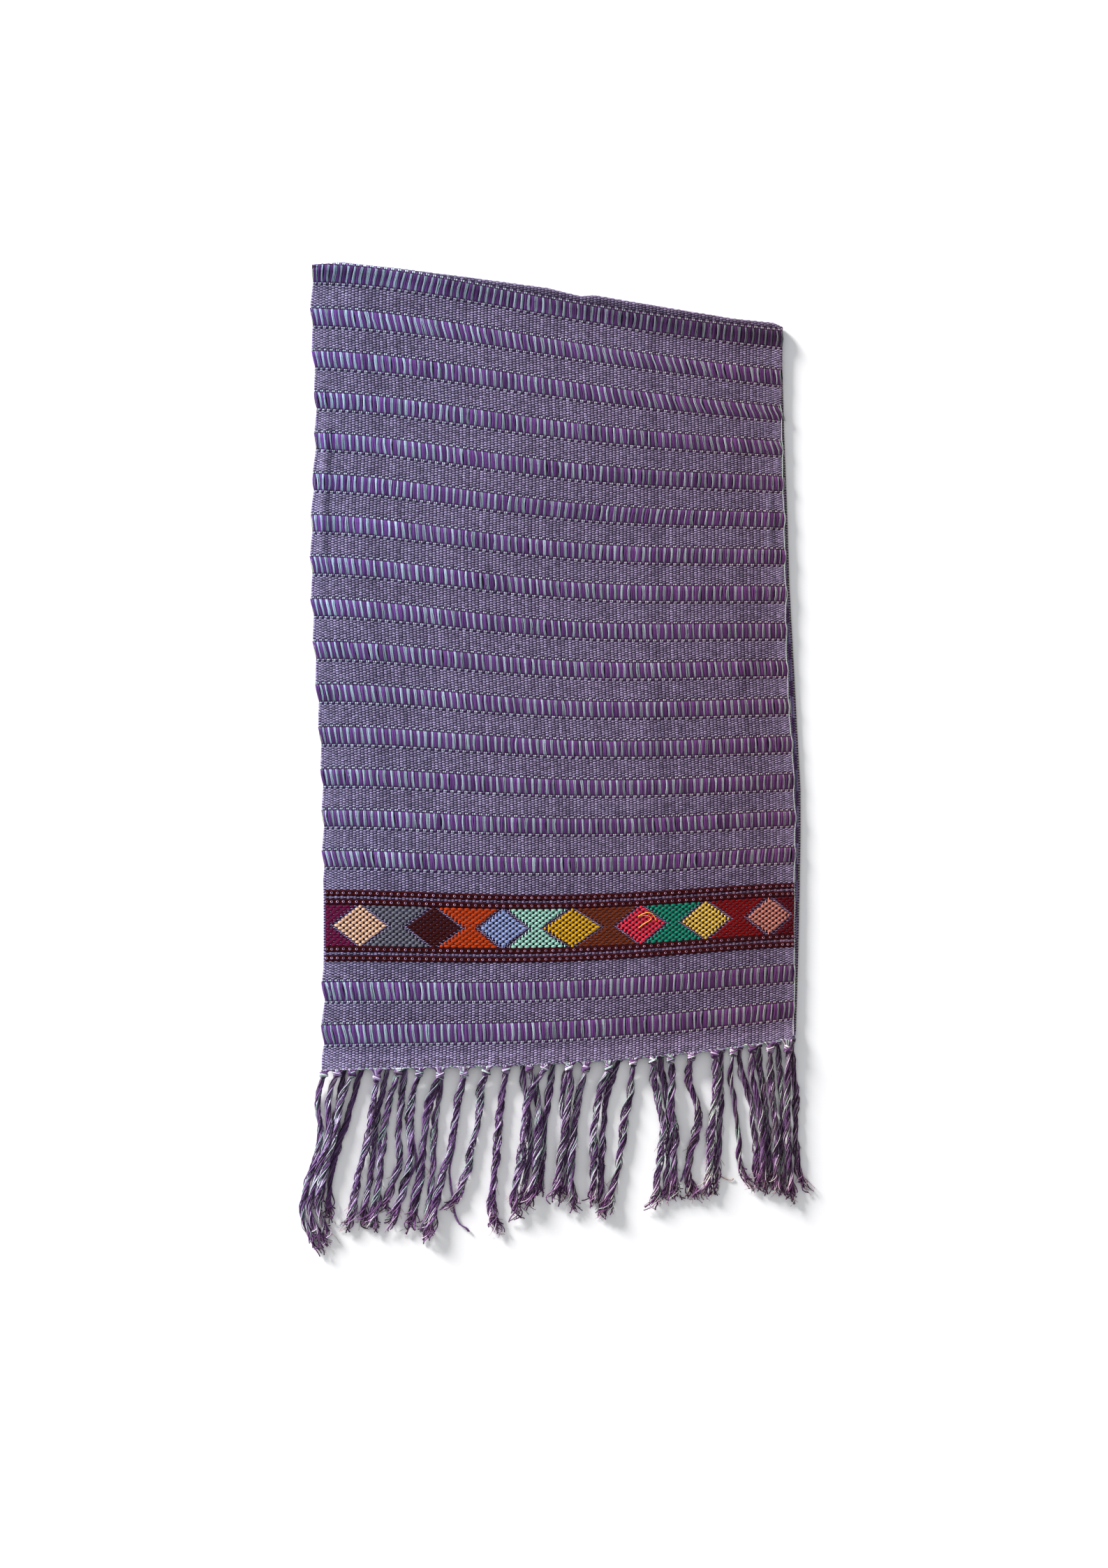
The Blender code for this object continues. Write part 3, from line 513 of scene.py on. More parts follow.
def yarn_piece(name, groups, finish):
    """One mesh from groups of yarns. A group holds points by yarn, step and place round the
    section, a dye for each, and whether the section is closed. Every yarn has its own cell in
    the map, so that each keeps its colour."""
    side = math.ceil(math.sqrt(sum(len(points) for points, _, _ in groups)))
    parts = []
    points_before, yarns_before = 0, 0
    for points, colours, closed in groups:
        yarns, steps, around = points.shape[:3]
        index = np.arange(yarns * steps * around).reshape(yarns, steps, around) + points_before
        gaps = around if closed else around - 1
        n, s, j = np.meshgrid(np.arange(yarns), np.arange(steps - 1), np.arange(gaps), indexing="ij")
        after = (j + 1) % around
        corners = index[n, s, j], index[n, s + 1, j], index[n, s + 1, after], index[n, s, after]
        down = 0.15 + 0.7 * np.stack([s, s + 1, s + 1, s], axis=-1) / (steps - 1)
        over = 0.15 + 0.7 * np.stack([j, j, j + 1, j + 1], axis=-1) / gaps
        cell = (n + yarns_before)[..., None]
        places = np.stack([(cell % side + down) / side, (cell // side + over) / side], axis=-1)
        rows = points, np.broadcast_to(colours, points.shape), np.stack(corners, axis=-1), places
        parts.append([part.reshape(-1, part.shape[-1]) for part in rows])
        points_before += points[..., 0].size
        yarns_before += yarns
    points, colours, faces, places = (np.concatenate(part) for part in zip(*parts))
    piece = place_piece(name, points, faces, finish)
    dye = piece.data.attributes.new("dye", "FLOAT_COLOR", "POINT")
    dye.data.foreach_set("color", np.concatenate([colours, np.ones((len(colours), 1))], axis=1).ravel())
    piece.data.uv_layers.new(name="OFBake").data.foreach_set("uv", places.ravel())
    return piece


def yarn_finish(name, roughness, sheen, fibre):
    """Cotton yarn: each one's own dye, with fine light and dark fibres and a faint fuzzy relief."""
    made, tree, shader = cotton(name, roughness, sheen)
    dye = node(tree, "Attribute", attribute_name="dye").outputs["Color"]
    fibres = noise(tree, Scale=1400.0, Detail=2.0)
    level = figure(tree, "MULTIPLY_ADD", fibres, 3.2 * fibre, 1 - 1.6 * fibre)
    scaled = node(tree, "VectorMath", {0: dye, 3: level}, operation="SCALE")
    surface(tree, shader, scaled.outputs[0], fibres, 0.3, 0.0002)
    return made


def band_half(band):
    """Half the height of a float band, in repeats; the lower two are taller."""
    return np.where(np.asarray(band) > LOWER_BANDS, FLOAT_HALF[1], FLOAT_HALF[0])


def dashes(first, pitch, rows):
    """Across, repeat, row and shade of the dashes in so many rows, pitch repeats apart."""
    k, column = np.meshgrid(np.arange(rows), np.arange(COLUMNS), indexing="ij")
    down = first + (k + DASH_AT[0] + DASH_AT[1] * (column % 2)) * pitch
    return np.array([column_u[column], down, k, streaks[column]]).reshape(4, -1)


bare_spans = [(band + BAND_CLEAR, band + 1 - BAND_CLEAR) for band in range(1, 15)]
bare_spans += [(15 + BAND_CLEAR, 15.768), (17.49, 17.92), (18.48, 18.92), (19.48, 20.01)]
streaks = 1 + 0.13 * random.standard_normal(COLUMNS)
column_u = thread_place((np.arange(COLUMNS) + 0.5) / COLUMNS)
woven = []
for first, last in bare_spans:
    rows_here = int(round((last - first) / DASH_PITCH))
    woven.append(dashes(first, (last - first) / rows_here, rows_here))
over = dashes(1 - BAND_CLEAR, -DASH_PITCH, 9)
# Painted shade on the rows that turn over the fold, darkest next to the first float band.
over[3] *= 0.5 + 0.07 * over[2]
woven.append(over[:, past_fold(over[0], over[1]) < PAST_FOLD])
dash_u, dash_v, _, dash_shade = np.concatenate(woven, axis=1)
dash_u = dash_u + random.normal(0, 0.10, len(dash_u)) / WIDTH
dash_v = dash_v + random.normal(0, 0.07, len(dash_v)) / PITCH
# Painted light falloff at half strength, and painted shade that darkens the dashes towards the right.
dash_light_fall = (0.5 + 0.5 * light_fall(dash_u, dash_v)) * (1 - 0.12 * dash_u)[:, None]
dash_colour = PLAIN * dash_light_fall * (dash_shade * random.uniform(0.6, 1.2, len(dash_u)))[:, None]
dash_tilt = random.normal(0, 0.09, len(dash_u)) + 0.35 * np.exp(-dash_u / 0.03)
plain_finish = yarn_finish("plain_weave_cotton", 0.85, 0.06, 0.35)
halves = (("plain_weave_upper", dash_v < HALVES_MEET), ("plain_weave_lower", dash_v >= HALVES_MEET))
for name, here in halves:
    u, v, tilt, colour = dash_u[here], dash_v[here], dash_tilt[here], dash_colour[here]
    dash_pads = pads(on_front, u, v, *DASH_HALF, PLY - 0.08, 0.62, tilt, colour)
    piece = yarn_piece(name, [dash_pads], plain_finish)


# The float bands. In every repeat the warp comes free of the weft for 16 mm and lies on top in
# bundles: four purple ends, then three mint ones, leaning and splitting a little. Small
# white-mint blocks of weft hold them down at both ends of the band.
# STEP_SHADE is painted shade: each float yarn darkens where it dips into the cloth at both ends.
STEPS = np.array([0, 0.08, 0.35, 0.65, 0.92, 1.0])  # places down a float yarn,
STEP_RISE = np.array([-0.1, 0.75, 1, 1, 0.75, -0.1])  # its height there, as a share of its crown,
STEP_SHADE = np.array([0.5, 0.95, 1.05, 1.0, 0.9, 0.55])  # and how light it is
PURPLE_FOLD_SHADE = np.array([0.62, 0.55, 0.55, 0.7, 0.95, 0.95])  # the first band turns away
MINT_FOLD_SHADE = np.array([0.7, 0.7, 0.75, 0.8, 1, 1])  # from the light over the fold
PURPLE_ENDS = 4
MINT_ENDS = 3
PURPLE_SIDE, MINT_SIDE = -0.19, 0.31  # where each bundle's middle lies, as a share of the pair's width
PURPLE = dyed(85, 54, 109)
MINT = dyed(140, 166, 171)
BLOCK = dyed(164, 182, 188)
VIOLET = dyed(100, 74, 124)
LEANS = np.array([
    # how far right the bundles drift from a band's top to its bottom, in mm, at the left selvedge,
    # a quarter, the middle, three quarters and the right selvedge; one row a band
    (-1.5, -3.0, 0.0, -1.2, -0.5),
    (1.6, 3.8, 1.2, 4.6, 1.0),
    (1.0, 0.0, 0.6, 3.8, 5.0),
    (1.0, -0.6, 0.2, 0.4, 3.6),
    (1.0, 1.0, 0.2, -0.8, -0.4),
    (0.5, 0.2, -0.8, -2.2, -1.0),
    (1.0, 1.2, 0.2, -0.8, -0.4),
    (2.0, 0.8, 1.0, -0.4, -0.5),
    (2.2, 1.0, 0.4, 0.0, 0.0),
    (2.6, 0.4, 0.3, 0.6, 0.9),
    (1.5, 0.6, 0.2, -0.4, 0.3),
    (1.2, -0.4, 0.3, -0.5, -0.5),
    (1.5, 0.2, 0.3, -0.6, -0.3),
    (1.5, 0.4, 0.2, 0.6, -0.3),
    (3.2, 0.8, 0.2, -0.6, -1.4),
    (3.2, 1.2, 0.5, -0.5, -0.6),
    (3.4, 1.0, 0.8, 0.3, -1.2),
])


def warp_yarns(across, band, shift, half_width, crown, bow, spread, colour, fold_shade):
    """Half-round yarns along the warp: 6 steps down the band by 3 places over the yarn. A yarn
    starts in the cloth, rises over the first tenth and dips again at the end. Its place across is
    the bundle's, plus its own shift scaled by spread from top to bottom, the band's lean and a bow."""
    t = STEPS[None, :]
    number = np.searchsorted(FLOAT_BANDS, band)
    at = np.clip(across, 0, 1) * 4
    cell = np.minimum(at.astype(int), 3)
    lean = LEANS[number, cell] * (1 - at + cell) + LEANS[number, cell + 1] * (at - cell)
    lean = lean * (1 - 0.85 * np.exp(-across / 0.012))
    widen = spread[:, :1] + (spread[:, 1:] - spread[:, :1]) * t
    drift_down = (lean[:, None] + bow[:, :1]) * (smooth(t) - 0.5)
    aside = shift[:, None] * widen + drift_down + bow[:, 1:] * np.sin(math.pi * t)
    v = band[:, None] + (2 * t - 1) * band_half(band)[:, None]
    side = np.array([-1, 0, 1])
    u = across[:, None, None] + (aside[..., None] + side * half_width[:, None, None]) / WIDTH
    out = PLY - 0.1 + STEP_RISE[:, None] * (crown[:, None, None] + 0.5 * (1 - side**2))
    # Painted shade on the first band over the fold, milder in the middle and deeper to the right.
    dim = fold_shade * np.interp(across, [0, 0.5, 1], [1.0, 1.3, 0.75])[:, None]
    shade = STEP_SHADE * np.where(band[:, None] == 1, dim, 1)
    # Painted light: floats in the upper bands are lighter and bluer towards the left selvedge.
    clear = 0.22 * np.exp(-across / 0.3) * (1 - smooth((band - 7) / 5))
    colour = colour * (1 + clear[:, None] * np.array([0.7, 0.8, 1.2]))
    # Painted shade: both sides of every float yarn are darker than its crown.
    return laid(on_front, u, v[..., None], out, colour, shade[..., None] * np.array([0.8, 1.0, 0.8]))


bands = len(FLOAT_BANDS)
count = BUNDLES * bands
share = np.tile((np.arange(BUNDLES) + 0.5) / BUNDLES, bands)
band = np.repeat(FLOAT_BANDS, BUNDLES)
bundle_u = thread_place(share)
width_here = (thread_place(share + 0.5 / BUNDLES) - thread_place(share - 0.5 / BUNDLES)) * WIDTH
split = np.clip(np.exp(random.normal(-0.05, 0.35, (count, 2))), 0.4, 1.9)
drift = random.normal(0, 1, (count, 2)) * np.array([0.36, 0.55])
tone = random.uniform(0.8, 1.2, count)
purple_groups, mint_groups = [], []
for k in range(PURPLE_ENDS):
    shift = (((k + 0.5) / PURPLE_ENDS - 0.5) * 0.70 + PURPLE_SIDE) * width_here
    crown = 0.30 - 0.10 * (k - 1.5) ** 2 + random.uniform(-0.12, 0.12, count)
    own = drift + random.normal(0, 0.28, (count, 2))
    colour = PURPLE * light_fall(share, band) * (tone * random.uniform(0.75, 1.25, count))[:, None]
    spread = random.uniform(0.8, 1.08, (count, 2))
    looks = (0.118 * width_here, crown, own, spread, colour, PURPLE_FOLD_SHADE)
    purple_groups.append(warp_yarns(bundle_u, band, shift, *looks))
for k in range(MINT_ENDS):
    shift = (k - 1) * (0.118 - 0.022 * share) * width_here
    middle = bundle_u + MINT_SIDE * width_here / WIDTH
    crown = 0.34 - 0.10 * (k - 1) ** 2 + random.uniform(-0.04, 0.04, count)
    own = np.roll(drift, 1, axis=0) * 0.8 + random.normal(0, 0.2, (count, 2))
    colour = mottled(MINT, share, band, 0.52, 1.38)
    looks = ((0.086 - 0.026 * share) * width_here, crown, own, split, colour, MINT_FOLD_SHADE)
    mint_groups.append(warp_yarns(middle, band, shift, *looks))
each = np.ones(bands)
for k in range(3):
    # three pale yarns along the left selvedge, where no purple bundle starts
    colour = dyed(176, 188, 166) * (0.85 + 0.1 * k) * each[:, None]
    bow = np.tile([0.0, -0.7], (bands, 1))
    looks = (0.36 * each, (0.2 * k - 0.35) * each, bow, np.ones((bands, 2)), colour, MINT_FOLD_SHADE)
    mint_groups.append(warp_yarns(0 * each, FLOAT_BANDS, (0.1 + 0.55 * k) * each, *looks))
end = np.tile(np.repeat([-1.0, 1.0], count), 3)
half_bundle = np.repeat([-1.0, 1.0, 0.0], 2 * count)
over_mint = half_bundle == 0
share, band, width_here = np.tile([share, band, width_here], 6)
block_side = np.where(over_mint, MINT_SIDE, PURPLE_SIDE + 0.13 * half_bundle)
block_u = thread_place(share) + (block_side * width_here + random.normal(0, 0.12, len(share))) / WIDTH
block_v = band + end * (band_half(band) + np.where(over_mint, 0.012, 0.026))
block_colour = mottled(np.where(over_mint[:, None], VIOLET, BLOCK), share, band, 0.7, 1.15)
half_wide = np.where(over_mint, 0.20, 0.125) * width_here
half_tall = np.where(over_mint, 1.1, 1.05) * random.uniform(0.85, 1.2, len(block_u))
kept = past_fold(block_u, block_v) < PAST_FOLD
block_looks = [each_one[kept] for each_one in (block_u, block_v, half_wide, half_tall)]
blocks = pads(on_front, *block_looks, PLY - 0.08, 0.66, 0.12, block_colour[kept])
purple_finish = yarn_finish("warp_float_cotton", 0.75, 0.07, 0.34)
mint_finish = yarn_finish("mint_float_cotton", 0.75, 0.07, 0.34)
purple_floats = yarn_piece("purple_warp_floats", purple_groups, purple_finish)
mint_floats = yarn_piece("mint_warp_floats", mint_groups, mint_finish)
float_blocks = yarn_piece("float_end_blocks", [blocks], plain_finish)


# The dark lines. Four thick maroon weft cords laid in between two picks, in two pairs. The
# strands open round a little ring of lavender warp every 6.5 mm, like the eyes of a chain,
# and a row of lavender stitches runs between the cords of a pair.
LINES = (("line_1", 15.84), ("line_2", 16.055), ("line_3", 17.20), ("line_4", 17.415))
LINE_EDGE = 0.003  # the lines and the inlay stop this short of both selvedges, across
STRANDS = ((0.35, 1.15), (1.0, 1.75), (1.65, 2.35))  # mm from the middle, between eyes and at one
MAROON = dyed(58, 9, 13)
eye_u = thread_place((np.arange(BUNDLES) + 0.5) / BUNDLES)


def weft_yarns(across, repeat, outward, half_width, swell, colour):
    """Half-round yarns along the weft: points by yarn and step, 3 places over each yarn."""
    side = np.array([1, 0, -1])
    v = repeat[..., None] + side * half_width / PITCH
    points = on_front(across[..., None] + 0 * side, v, outward[..., None] + swell * (1 - side**2))
    # Painted shade: the two sides of each yarn are darker than its crown.
    return points, colour[..., None, :] * np.array([0.62, 1.0, 0.62])[:, None], False


def ring_dots(across, repeat, radius, thick, outward, colour):
    """Little closed rings of yarn lying on the cloth: 8 steps round, a 3-sided section."""
    angle = np.linspace(0, 2 * math.pi, 9)[:, None]
    section = 2 * math.pi * np.arange(3) / 3
    reach = radius + thick * np.cos(section)
    u = across[:, None, None] - reach * np.cos(angle) / WIDTH
    v = repeat[:, None, None] + reach * np.sin(angle) / PITCH
    out = outward + thick * np.sin(section)
    return (*laid(on_front, u, v, out, colour, np.ones(3))[:2], True)


line_finish = yarn_finish("dark_line_cotton", 0.8, 0.02, 0.4)
turns = np.linspace(-0.5, BUNDLES - 0.5, BUNDLES * 5 + 1)
cord_u = np.clip(np.interp(turns, np.arange(BUNDLES), eye_u, left=0, right=1), LINE_EDGE, 1 - LINE_EDGE)
opening = 0.5 + 0.5 * np.cos(2 * math.pi * turns)
for name, place in LINES:
    cord_v = []
    for j, (narrow, wide) in enumerate(STRANDS):
        for sign in (-1, 1):
            wobble = 0.07 * np.sin(turns * (2.3 + j) + sign + place)
            cord_v.append(place + sign * (narrow + (wide - narrow) * opening + wobble) / PITCH)
    bulge = PLY + 0.32 + 0.25 * opening - 0.12 * np.abs(np.arange(6) // 2 - 1)[:, None]
    tint = MAROON * random.uniform(0.75, 1.2, (len(cord_v), len(turns), 1))
    cord = weft_yarns(np.tile(cord_u, (len(cord_v), 1)), np.array(cord_v), bulge, 0.55, 0.5, tint)
    centres = place + random.normal(0, 0.1, BUNDLES) / PITCH
    ring_colour = mottled(dyed(168, 150, 178), eye_u, centres, 0.55, 1.15)
    rings = ring_dots(eye_u, centres, 0.98, 0.34, PLY + 0.72, ring_colour)
    piece = yarn_piece(name + "_cord", [cord, rings], line_finish)
    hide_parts(name)
stitch_u = np.tile(column_u, 6)
stitch_v = np.repeat([15.93, 15.965, 15.948, 17.29, 17.325, 17.308], COLUMNS)
third_row = np.repeat(np.arange(6), COLUMNS) % 3 == 2
keep = (np.arange(len(stitch_u)) % 2 == third_row) | (random.random(len(stitch_u)) < 0.2)
stitch_colour = mottled(1.25 * PLAIN, stitch_u, stitch_v, 0.6, 1.1)
stitches = pads(on_front, stitch_u[keep], stitch_v[keep], 1.4, 0.55, PLY, 0.6, 0.1, stitch_colour[keep])
line_stitches = yarn_piece("line_stitches", [stitches], plain_finish)


# The inlaid diamonds and the fields between them. Thick cotton laid in by hand, three strands
# to a pick, that floats on the face from one warp tie to the next. The ties of neighbouring
# picks are staggered, so the floats bulge round them like fish scales.
BAND_MIDDLE = 16.63
BAND_HALF = 0.495
PICKS = 15
TIE_SPACING = 6.35 / WIDTH  # along a pick
OUTLINE = 0.0095  # ground left bare between a diamond and a field, across
OUTLINE_ROWS = (-1.1, 0.9)  # where two rows of dashes lie beside its middle, in mm
LAST_FIELD = 0.0045  # least width of the last field, beside the right selvedge
DARK_TIE = dyed(38, 22, 40)
DIAMONDS = (
    # name, across, half width, colour, colour of the ties
    ("diamond_peach", 0.077, 0.0551, dyed(238, 190, 158), DARK_TIE),
    ("diamond_maroon", 0.233, 0.0564, dyed(60, 13, 11), dyed(120, 88, 112)),
    ("diamond_periwinkle", 0.380, 0.0499, dyed(146, 162, 212), DARK_TIE),
    ("diamond_mustard", 0.526, 0.0590, dyed(216, 164, 26), DARK_TIE),
    ("diamond_red", 0.672, 0.0503, dyed(230, 52, 74), DARK_TIE),
    ("diamond_yellow", 0.810, 0.0494, dyed(226, 184, 76), DARK_TIE),
    ("diamond_salmon", 0.944, 0.0440, dyed(200, 124, 108), DARK_TIE),
)
FIELDS = (
    ("field_magenta", dyed(104, 18, 62), dyed(150, 112, 150)),
    ("field_grey", dyed(112, 113, 126), dyed(44, 40, 62)),
    ("field_orange", dyed(188, 64, 20), dyed(110, 40, 30)),
    ("field_mint", dyed(158, 212, 194), DARK_TIE),
    ("field_brown", dyed(106, 44, 18), dyed(130, 100, 120)),
    ("field_teal", dyed(26, 136, 108), dyed(30, 40, 50)),
    ("field_red", dyed(124, 10, 12), dyed(140, 100, 105)),
    ("field_wine", dyed(88, 8, 18), dyed(130, 90, 110)),
)
FLOAT_STEPS = np.array([0, 0.2, 0.5, 0.8, 1.0])
pick_v = BAND_MIDDLE + (np.arange(PICKS) - (PICKS - 1) / 2) * 2 * BAND_HALF / PICKS
reach = np.maximum(1 - np.abs(pick_v - BAND_MIDDLE) / BAND_HALF, 0.06)


def inlay(name, left, right, colour, tie):
    """Floats of one colour between left and right, given for every pick. A float spans from tie to
    tie, clipped at the patch's edges; its three strands close up at the ends, and the middle
    stands highest. Dark ties are bigger, and the floats leave them more room."""
    pick, k = np.meshgrid(np.arange(PICKS), np.arange(-1, int(1 / TIE_SPACING) + 2), indexing="ij")
    start = (k + 0.5 * (pick % 2)) * TIE_SPACING
    first = np.clip(start, left[pick], right[pick])
    last = np.clip(start + TIE_SPACING, left[pick], right[pick])
    used = (last - first) * WIDTH > 0.7
    first, last, pick, start = first[used], last[used], pick[used], start[used]
    most = 0.35 * (last - first) * WIDTH
    dark_ties = tie.sum() < 0.2
    from_tie = np.where(first == start, 1.0, 0.15)
    to_tie = np.where(last == start + TIE_SPACING, 1.0, 0.15)
    groups = []
    for j in (-1, 0, 1):
        gap = (0.95 if j == 0 else 0.45) + (0.5 if dark_ties else 0)
        one = first + np.minimum(gap * from_tie, most) / WIDTH
        two = last - np.minimum(gap * to_tie, most) / WIDTH
        u = one[:, None] + (two - one)[:, None] * FLOAT_STEPS
        arch = np.sin(math.pi * (0.12 + 0.76 * FLOAT_STEPS[None, :]))
        aside = j * (0.38 + 0.62 * arch) * 0.80 + random.normal(0, 0.05, (len(one), 1))
        v = pick_v[pick][:, None] + aside / PITCH
        out = PLY - 0.05 + (0.72 - 0.1 * abs(j)) * arch
        # Painted shade: each float darkens towards its ends, where it dips to a tie.
        tint = colour * random.uniform(0.82, 1.12, (len(one), 1, 1)) * (0.72 + 0.28 * arch)[..., None]
        groups.append(weft_yarns(u, v, out, 0.46, 0.34, tint))
    tied = (from_tie == 1.0) & (first > left[pick] + 0.002) & (first < right[pick] - 0.002)
    tie_colour = tie * random.uniform(0.6, 1.25, (tied.sum(), 1))
    size = (1.35, 0.75, PLY + 0.1, 0.4) if dark_ties else (0.62, 0.42, PLY + 0.1, 0.6)
    groups.append(pads(on_front, first[tied], pick_v[pick[tied]], *size, 0.1, tie_colour))
    piece = yarn_piece(name + "_floats", groups, yarn_finish(name + "_cotton", 0.8, 0.05, 0.34))
    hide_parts(name)
    return piece


inlays, edges = [], []
lefts, rights = [np.full(PICKS, LINE_EDGE)], []
for name, place, widest, colour, tie in DIAMONDS:
    half = widest * reach
    inlays.append(inlay(name, place - half, place + half, colour, tie))
    rights.append(place - half - OUTLINE)
    lefts.append(np.minimum(place + half + OUTLINE, 1 - LINE_EDGE - LAST_FIELD))
    edges += [place - half - OUTLINE / 2, place + half + OUTLINE / 2]
rights.append(np.full(PICKS, 1 - LINE_EDGE))
for (name, colour, tie), left, right in zip(FIELDS, lefts, rights):
    inlays.append(inlay(name, left, right, colour, tie))
outline_u = np.concatenate([edge + shift / WIDTH for edge in edges for shift in OUTLINE_ROWS])
outline_v = np.tile(pick_v, 2 * len(edges)) + np.repeat(np.tile([-0.011, 0.011], len(edges)), PICKS)
inside = (outline_u > 0.004) & (outline_u < 0.996)
outline_u, outline_v = outline_u[inside], outline_v[inside]
outline_colour = mottled(dyed(176, 166, 205), outline_u, outline_v, 0.45, 1.1)
outline_pads = pads(on_front, outline_u, outline_v, 1.15, 0.42, PLY, 0.5, 0.2, outline_colour)
outlines = yarn_piece("diamond_outlines", [outline_pads], plain_finish)


# The selvedges. Where the weft turns back round the outermost warp it makes a row of little
# loops down both long edges, pale and dark by turns. The back half's right selvedge shows
# beside the front's, so it has its own loops and its own last columns of weave.
LOOP_IN = np.array([1.6, 0.5, -0.25, -0.25, 0.5, 1.6])[:, None]  # mm inside the edge, step by step,
LOOP_ROUND = np.array([1, 1, 0, 0, -1, -1])[:, None]  # and which way the loop's back bulges there
# LOOP_SHADE is painted shade: each loop and the edge thread are darker at their sides.
LOOP_SHADE = np.array([0.7, 1, 0.7])
FRONT_LOOPS = (0.72, 19.98, 0.0335)  # first, last and pitch of the front's loops, in repeats,
BACK_LOOPS = (1.6, 19.9, 0.037)  # and of the back's
LOOPS_CLEAR = 0.225  # the front has none this near the middle of a float band, in repeats


def edge_loops(place, repeat, at, inward, ply, colour):
    """Half-round yarns that wrap an edge: 6 steps from the face, round the edge, to the underside."""
    step_out = np.array([ply + 0.06, ply + 0.14, ply * 0.78, ply * 0.22, -0.1, 0.0])[:, None]
    side = np.array([-1, 0, 1]) * inward
    u = at + inward * (LOOP_IN - 0.32 * (1 - side**2)) / WIDTH
    out = np.maximum(step_out + 0.28 * (1 - side**2) * LOOP_ROUND, 0.0)
    return laid(place, u, repeat[:, None, None] + 0.5 * side / PITCH, out, colour, LOOP_SHADE)


def loop_dyes(count, one, two):
    """Loops by turns in two dyes, each a little lighter or darker."""
    turn = (np.arange(count) % 2)[:, None]
    return (one * turn + two * (1 - turn)) * random.uniform(0.7, 1.2, (count, 1))


loop_v = np.arange(*FRONT_LOOPS)
loop_v = loop_v[np.abs(from_band(loop_v)) > LOOPS_CLEAR]
left_dyes = loop_dyes(len(loop_v), dyed(150, 140, 175), dyed(62, 44, 84))
right_dyes = loop_dyes(len(loop_v), dyed(165, 145, 170), dyed(58, 34, 58))
left_loops = edge_loops(on_front, loop_v, 0.0, 1, PLY, left_dyes)
right_loops = edge_loops(on_front, loop_v, 1.0, -1, PLY, right_dyes)
thread_v = np.linspace(2.75, 19.9, 260)[None, :, None]
waver = 0.5 * np.sin(2.1 * thread_v) * np.sin(0.9 * thread_v + 1) + 0.3 * np.sin(5.3 * thread_v)
side = np.array([-1.0, 0.0, 1.0])
thread_u = 1 - (0.9 + waver - 0.34 * side) / WIDTH
thread_out = PLY + 0.25 + 0.42 * (1 - side**2)
edge_thread = laid(on_front, thread_u, thread_v, thread_out, dyed(176, 188, 178)[None], LOOP_SHADE)
selvedges = yarn_piece("selvedge_loops", [left_loops, right_loops, edge_thread], plain_finish)
back_loop_v = np.arange(*BACK_LOOPS)
back_dyes = loop_dyes(len(back_loop_v), dyed(156, 138, 136), dyed(44, 24, 32))
back_loops = edge_loops(on_back, back_loop_v, 1.0, -1, BACK_PLY, back_dyes)
k, column = np.meshgrid(np.arange(290), np.arange(4), indexing="ij")
strip_v = (1.6 + (k + 0.5 * (column % 2)) * 0.0633).ravel()
strip_u = (1 - (2.2 + 2.4 * column) / WIDTH).ravel()
strip_colour = dyed(150, 132, 158) * random.uniform(0.45, 1.1, len(strip_u))[:, None]
back_strip = pads(on_back, strip_u, strip_v, 1.1, 0.44, BACK_PLY - 0.06, 0.34, 0.1, strip_colour)
back_selvedge = yarn_piece("back_selvedge", [back_loops, back_strip], plain_finish)


# The knotted fringes. At both ends of the cloth the warp is twined along the edge with a thin
# cord, gathered every 20 mm or so, and tied in an overhand knot. Below the knot hang loosely
# twisted bundles of purple, mint and white cotton that fray at their tips.
KNOT_HEIGHT = 5.3  # middle of a front knot over the table
BACK_HEIGHT = 1.4  # middle of the back cord over the table
FRONT_TASSELS = (
    # y of knot and tip, x at seven heights from knot to tip, width
    (-303, -472, -219, -225, -222, -228, -237, -238, -222, 5.6),
    (-303, -467, -206, -215, -214, -221, -230, -231, -216, 5.6),
    (-303, -461, -192, -203, -207, -214, -222, -224, -210, 5.6),
    (-307, -452, -168, -172, -175, -181, -187, -191, -197, 6.6),
    (-301, -453, -148, -156, -161, -164, -166, -169, -174, 6.8),
    (-302, -451, -128, -135, -137, -136, -140, -147, -157, 6.6),
    (-304, -453, -108, -118, -122, -125, -128, -133, -137, 7.2),
    (-303, -459, -85, -91, -95, -100, -108, -114, -120, 6.2),
    (-301, -434, -64, -70, -71, -77, -81, -88, -101, 6.6),
    (-299, -455, -45, -49, -52, -54, -57, -59, -54, 7.2),
    (-297, -431, -23, -16, -14, -14, -16, -20, -25, 7.2),
    (-297, -441, -8, -22, -27, -29, -32, -37, -35, 7.2),
    (-297, -426, 15, 16, 13, 11, 7, 4, 0, 6.6),
    (-298, -434, 31, 25, 21, 19, 17, 17, 20, 6.6),
    (-297, -429, 53, 45, 41, 38, 39, 38, 37, 6.8),
    (-291, -439, 76, 74, 69, 66, 62, 56, 48, 6.6),
    (-287, -431, 95, 97, 102, 105, 102, 99, 96, 6.8),
    (-289, -424, 112, 114, 112, 116, 115, 115, 118, 6.8),
    (-283, -424, 132, 129, 137, 137, 131, 129, 136, 7.0),
    (-283, -421, 154, 156, 154, 151, 150, 149, 143, 7.2),
    (-281, -411, 172, 169, 172, 175, 177, 178, 189, 4.0),
    (-278, -414, 190, 189, 194, 198, 200, 200, 201, 6.0),
    (-279, -419, 207, 207, 209, 212, 213, 213, 214, 6.0),
    (-279, -425, 224, 224, 223, 223, 224, 226, 227, 6.0),
)
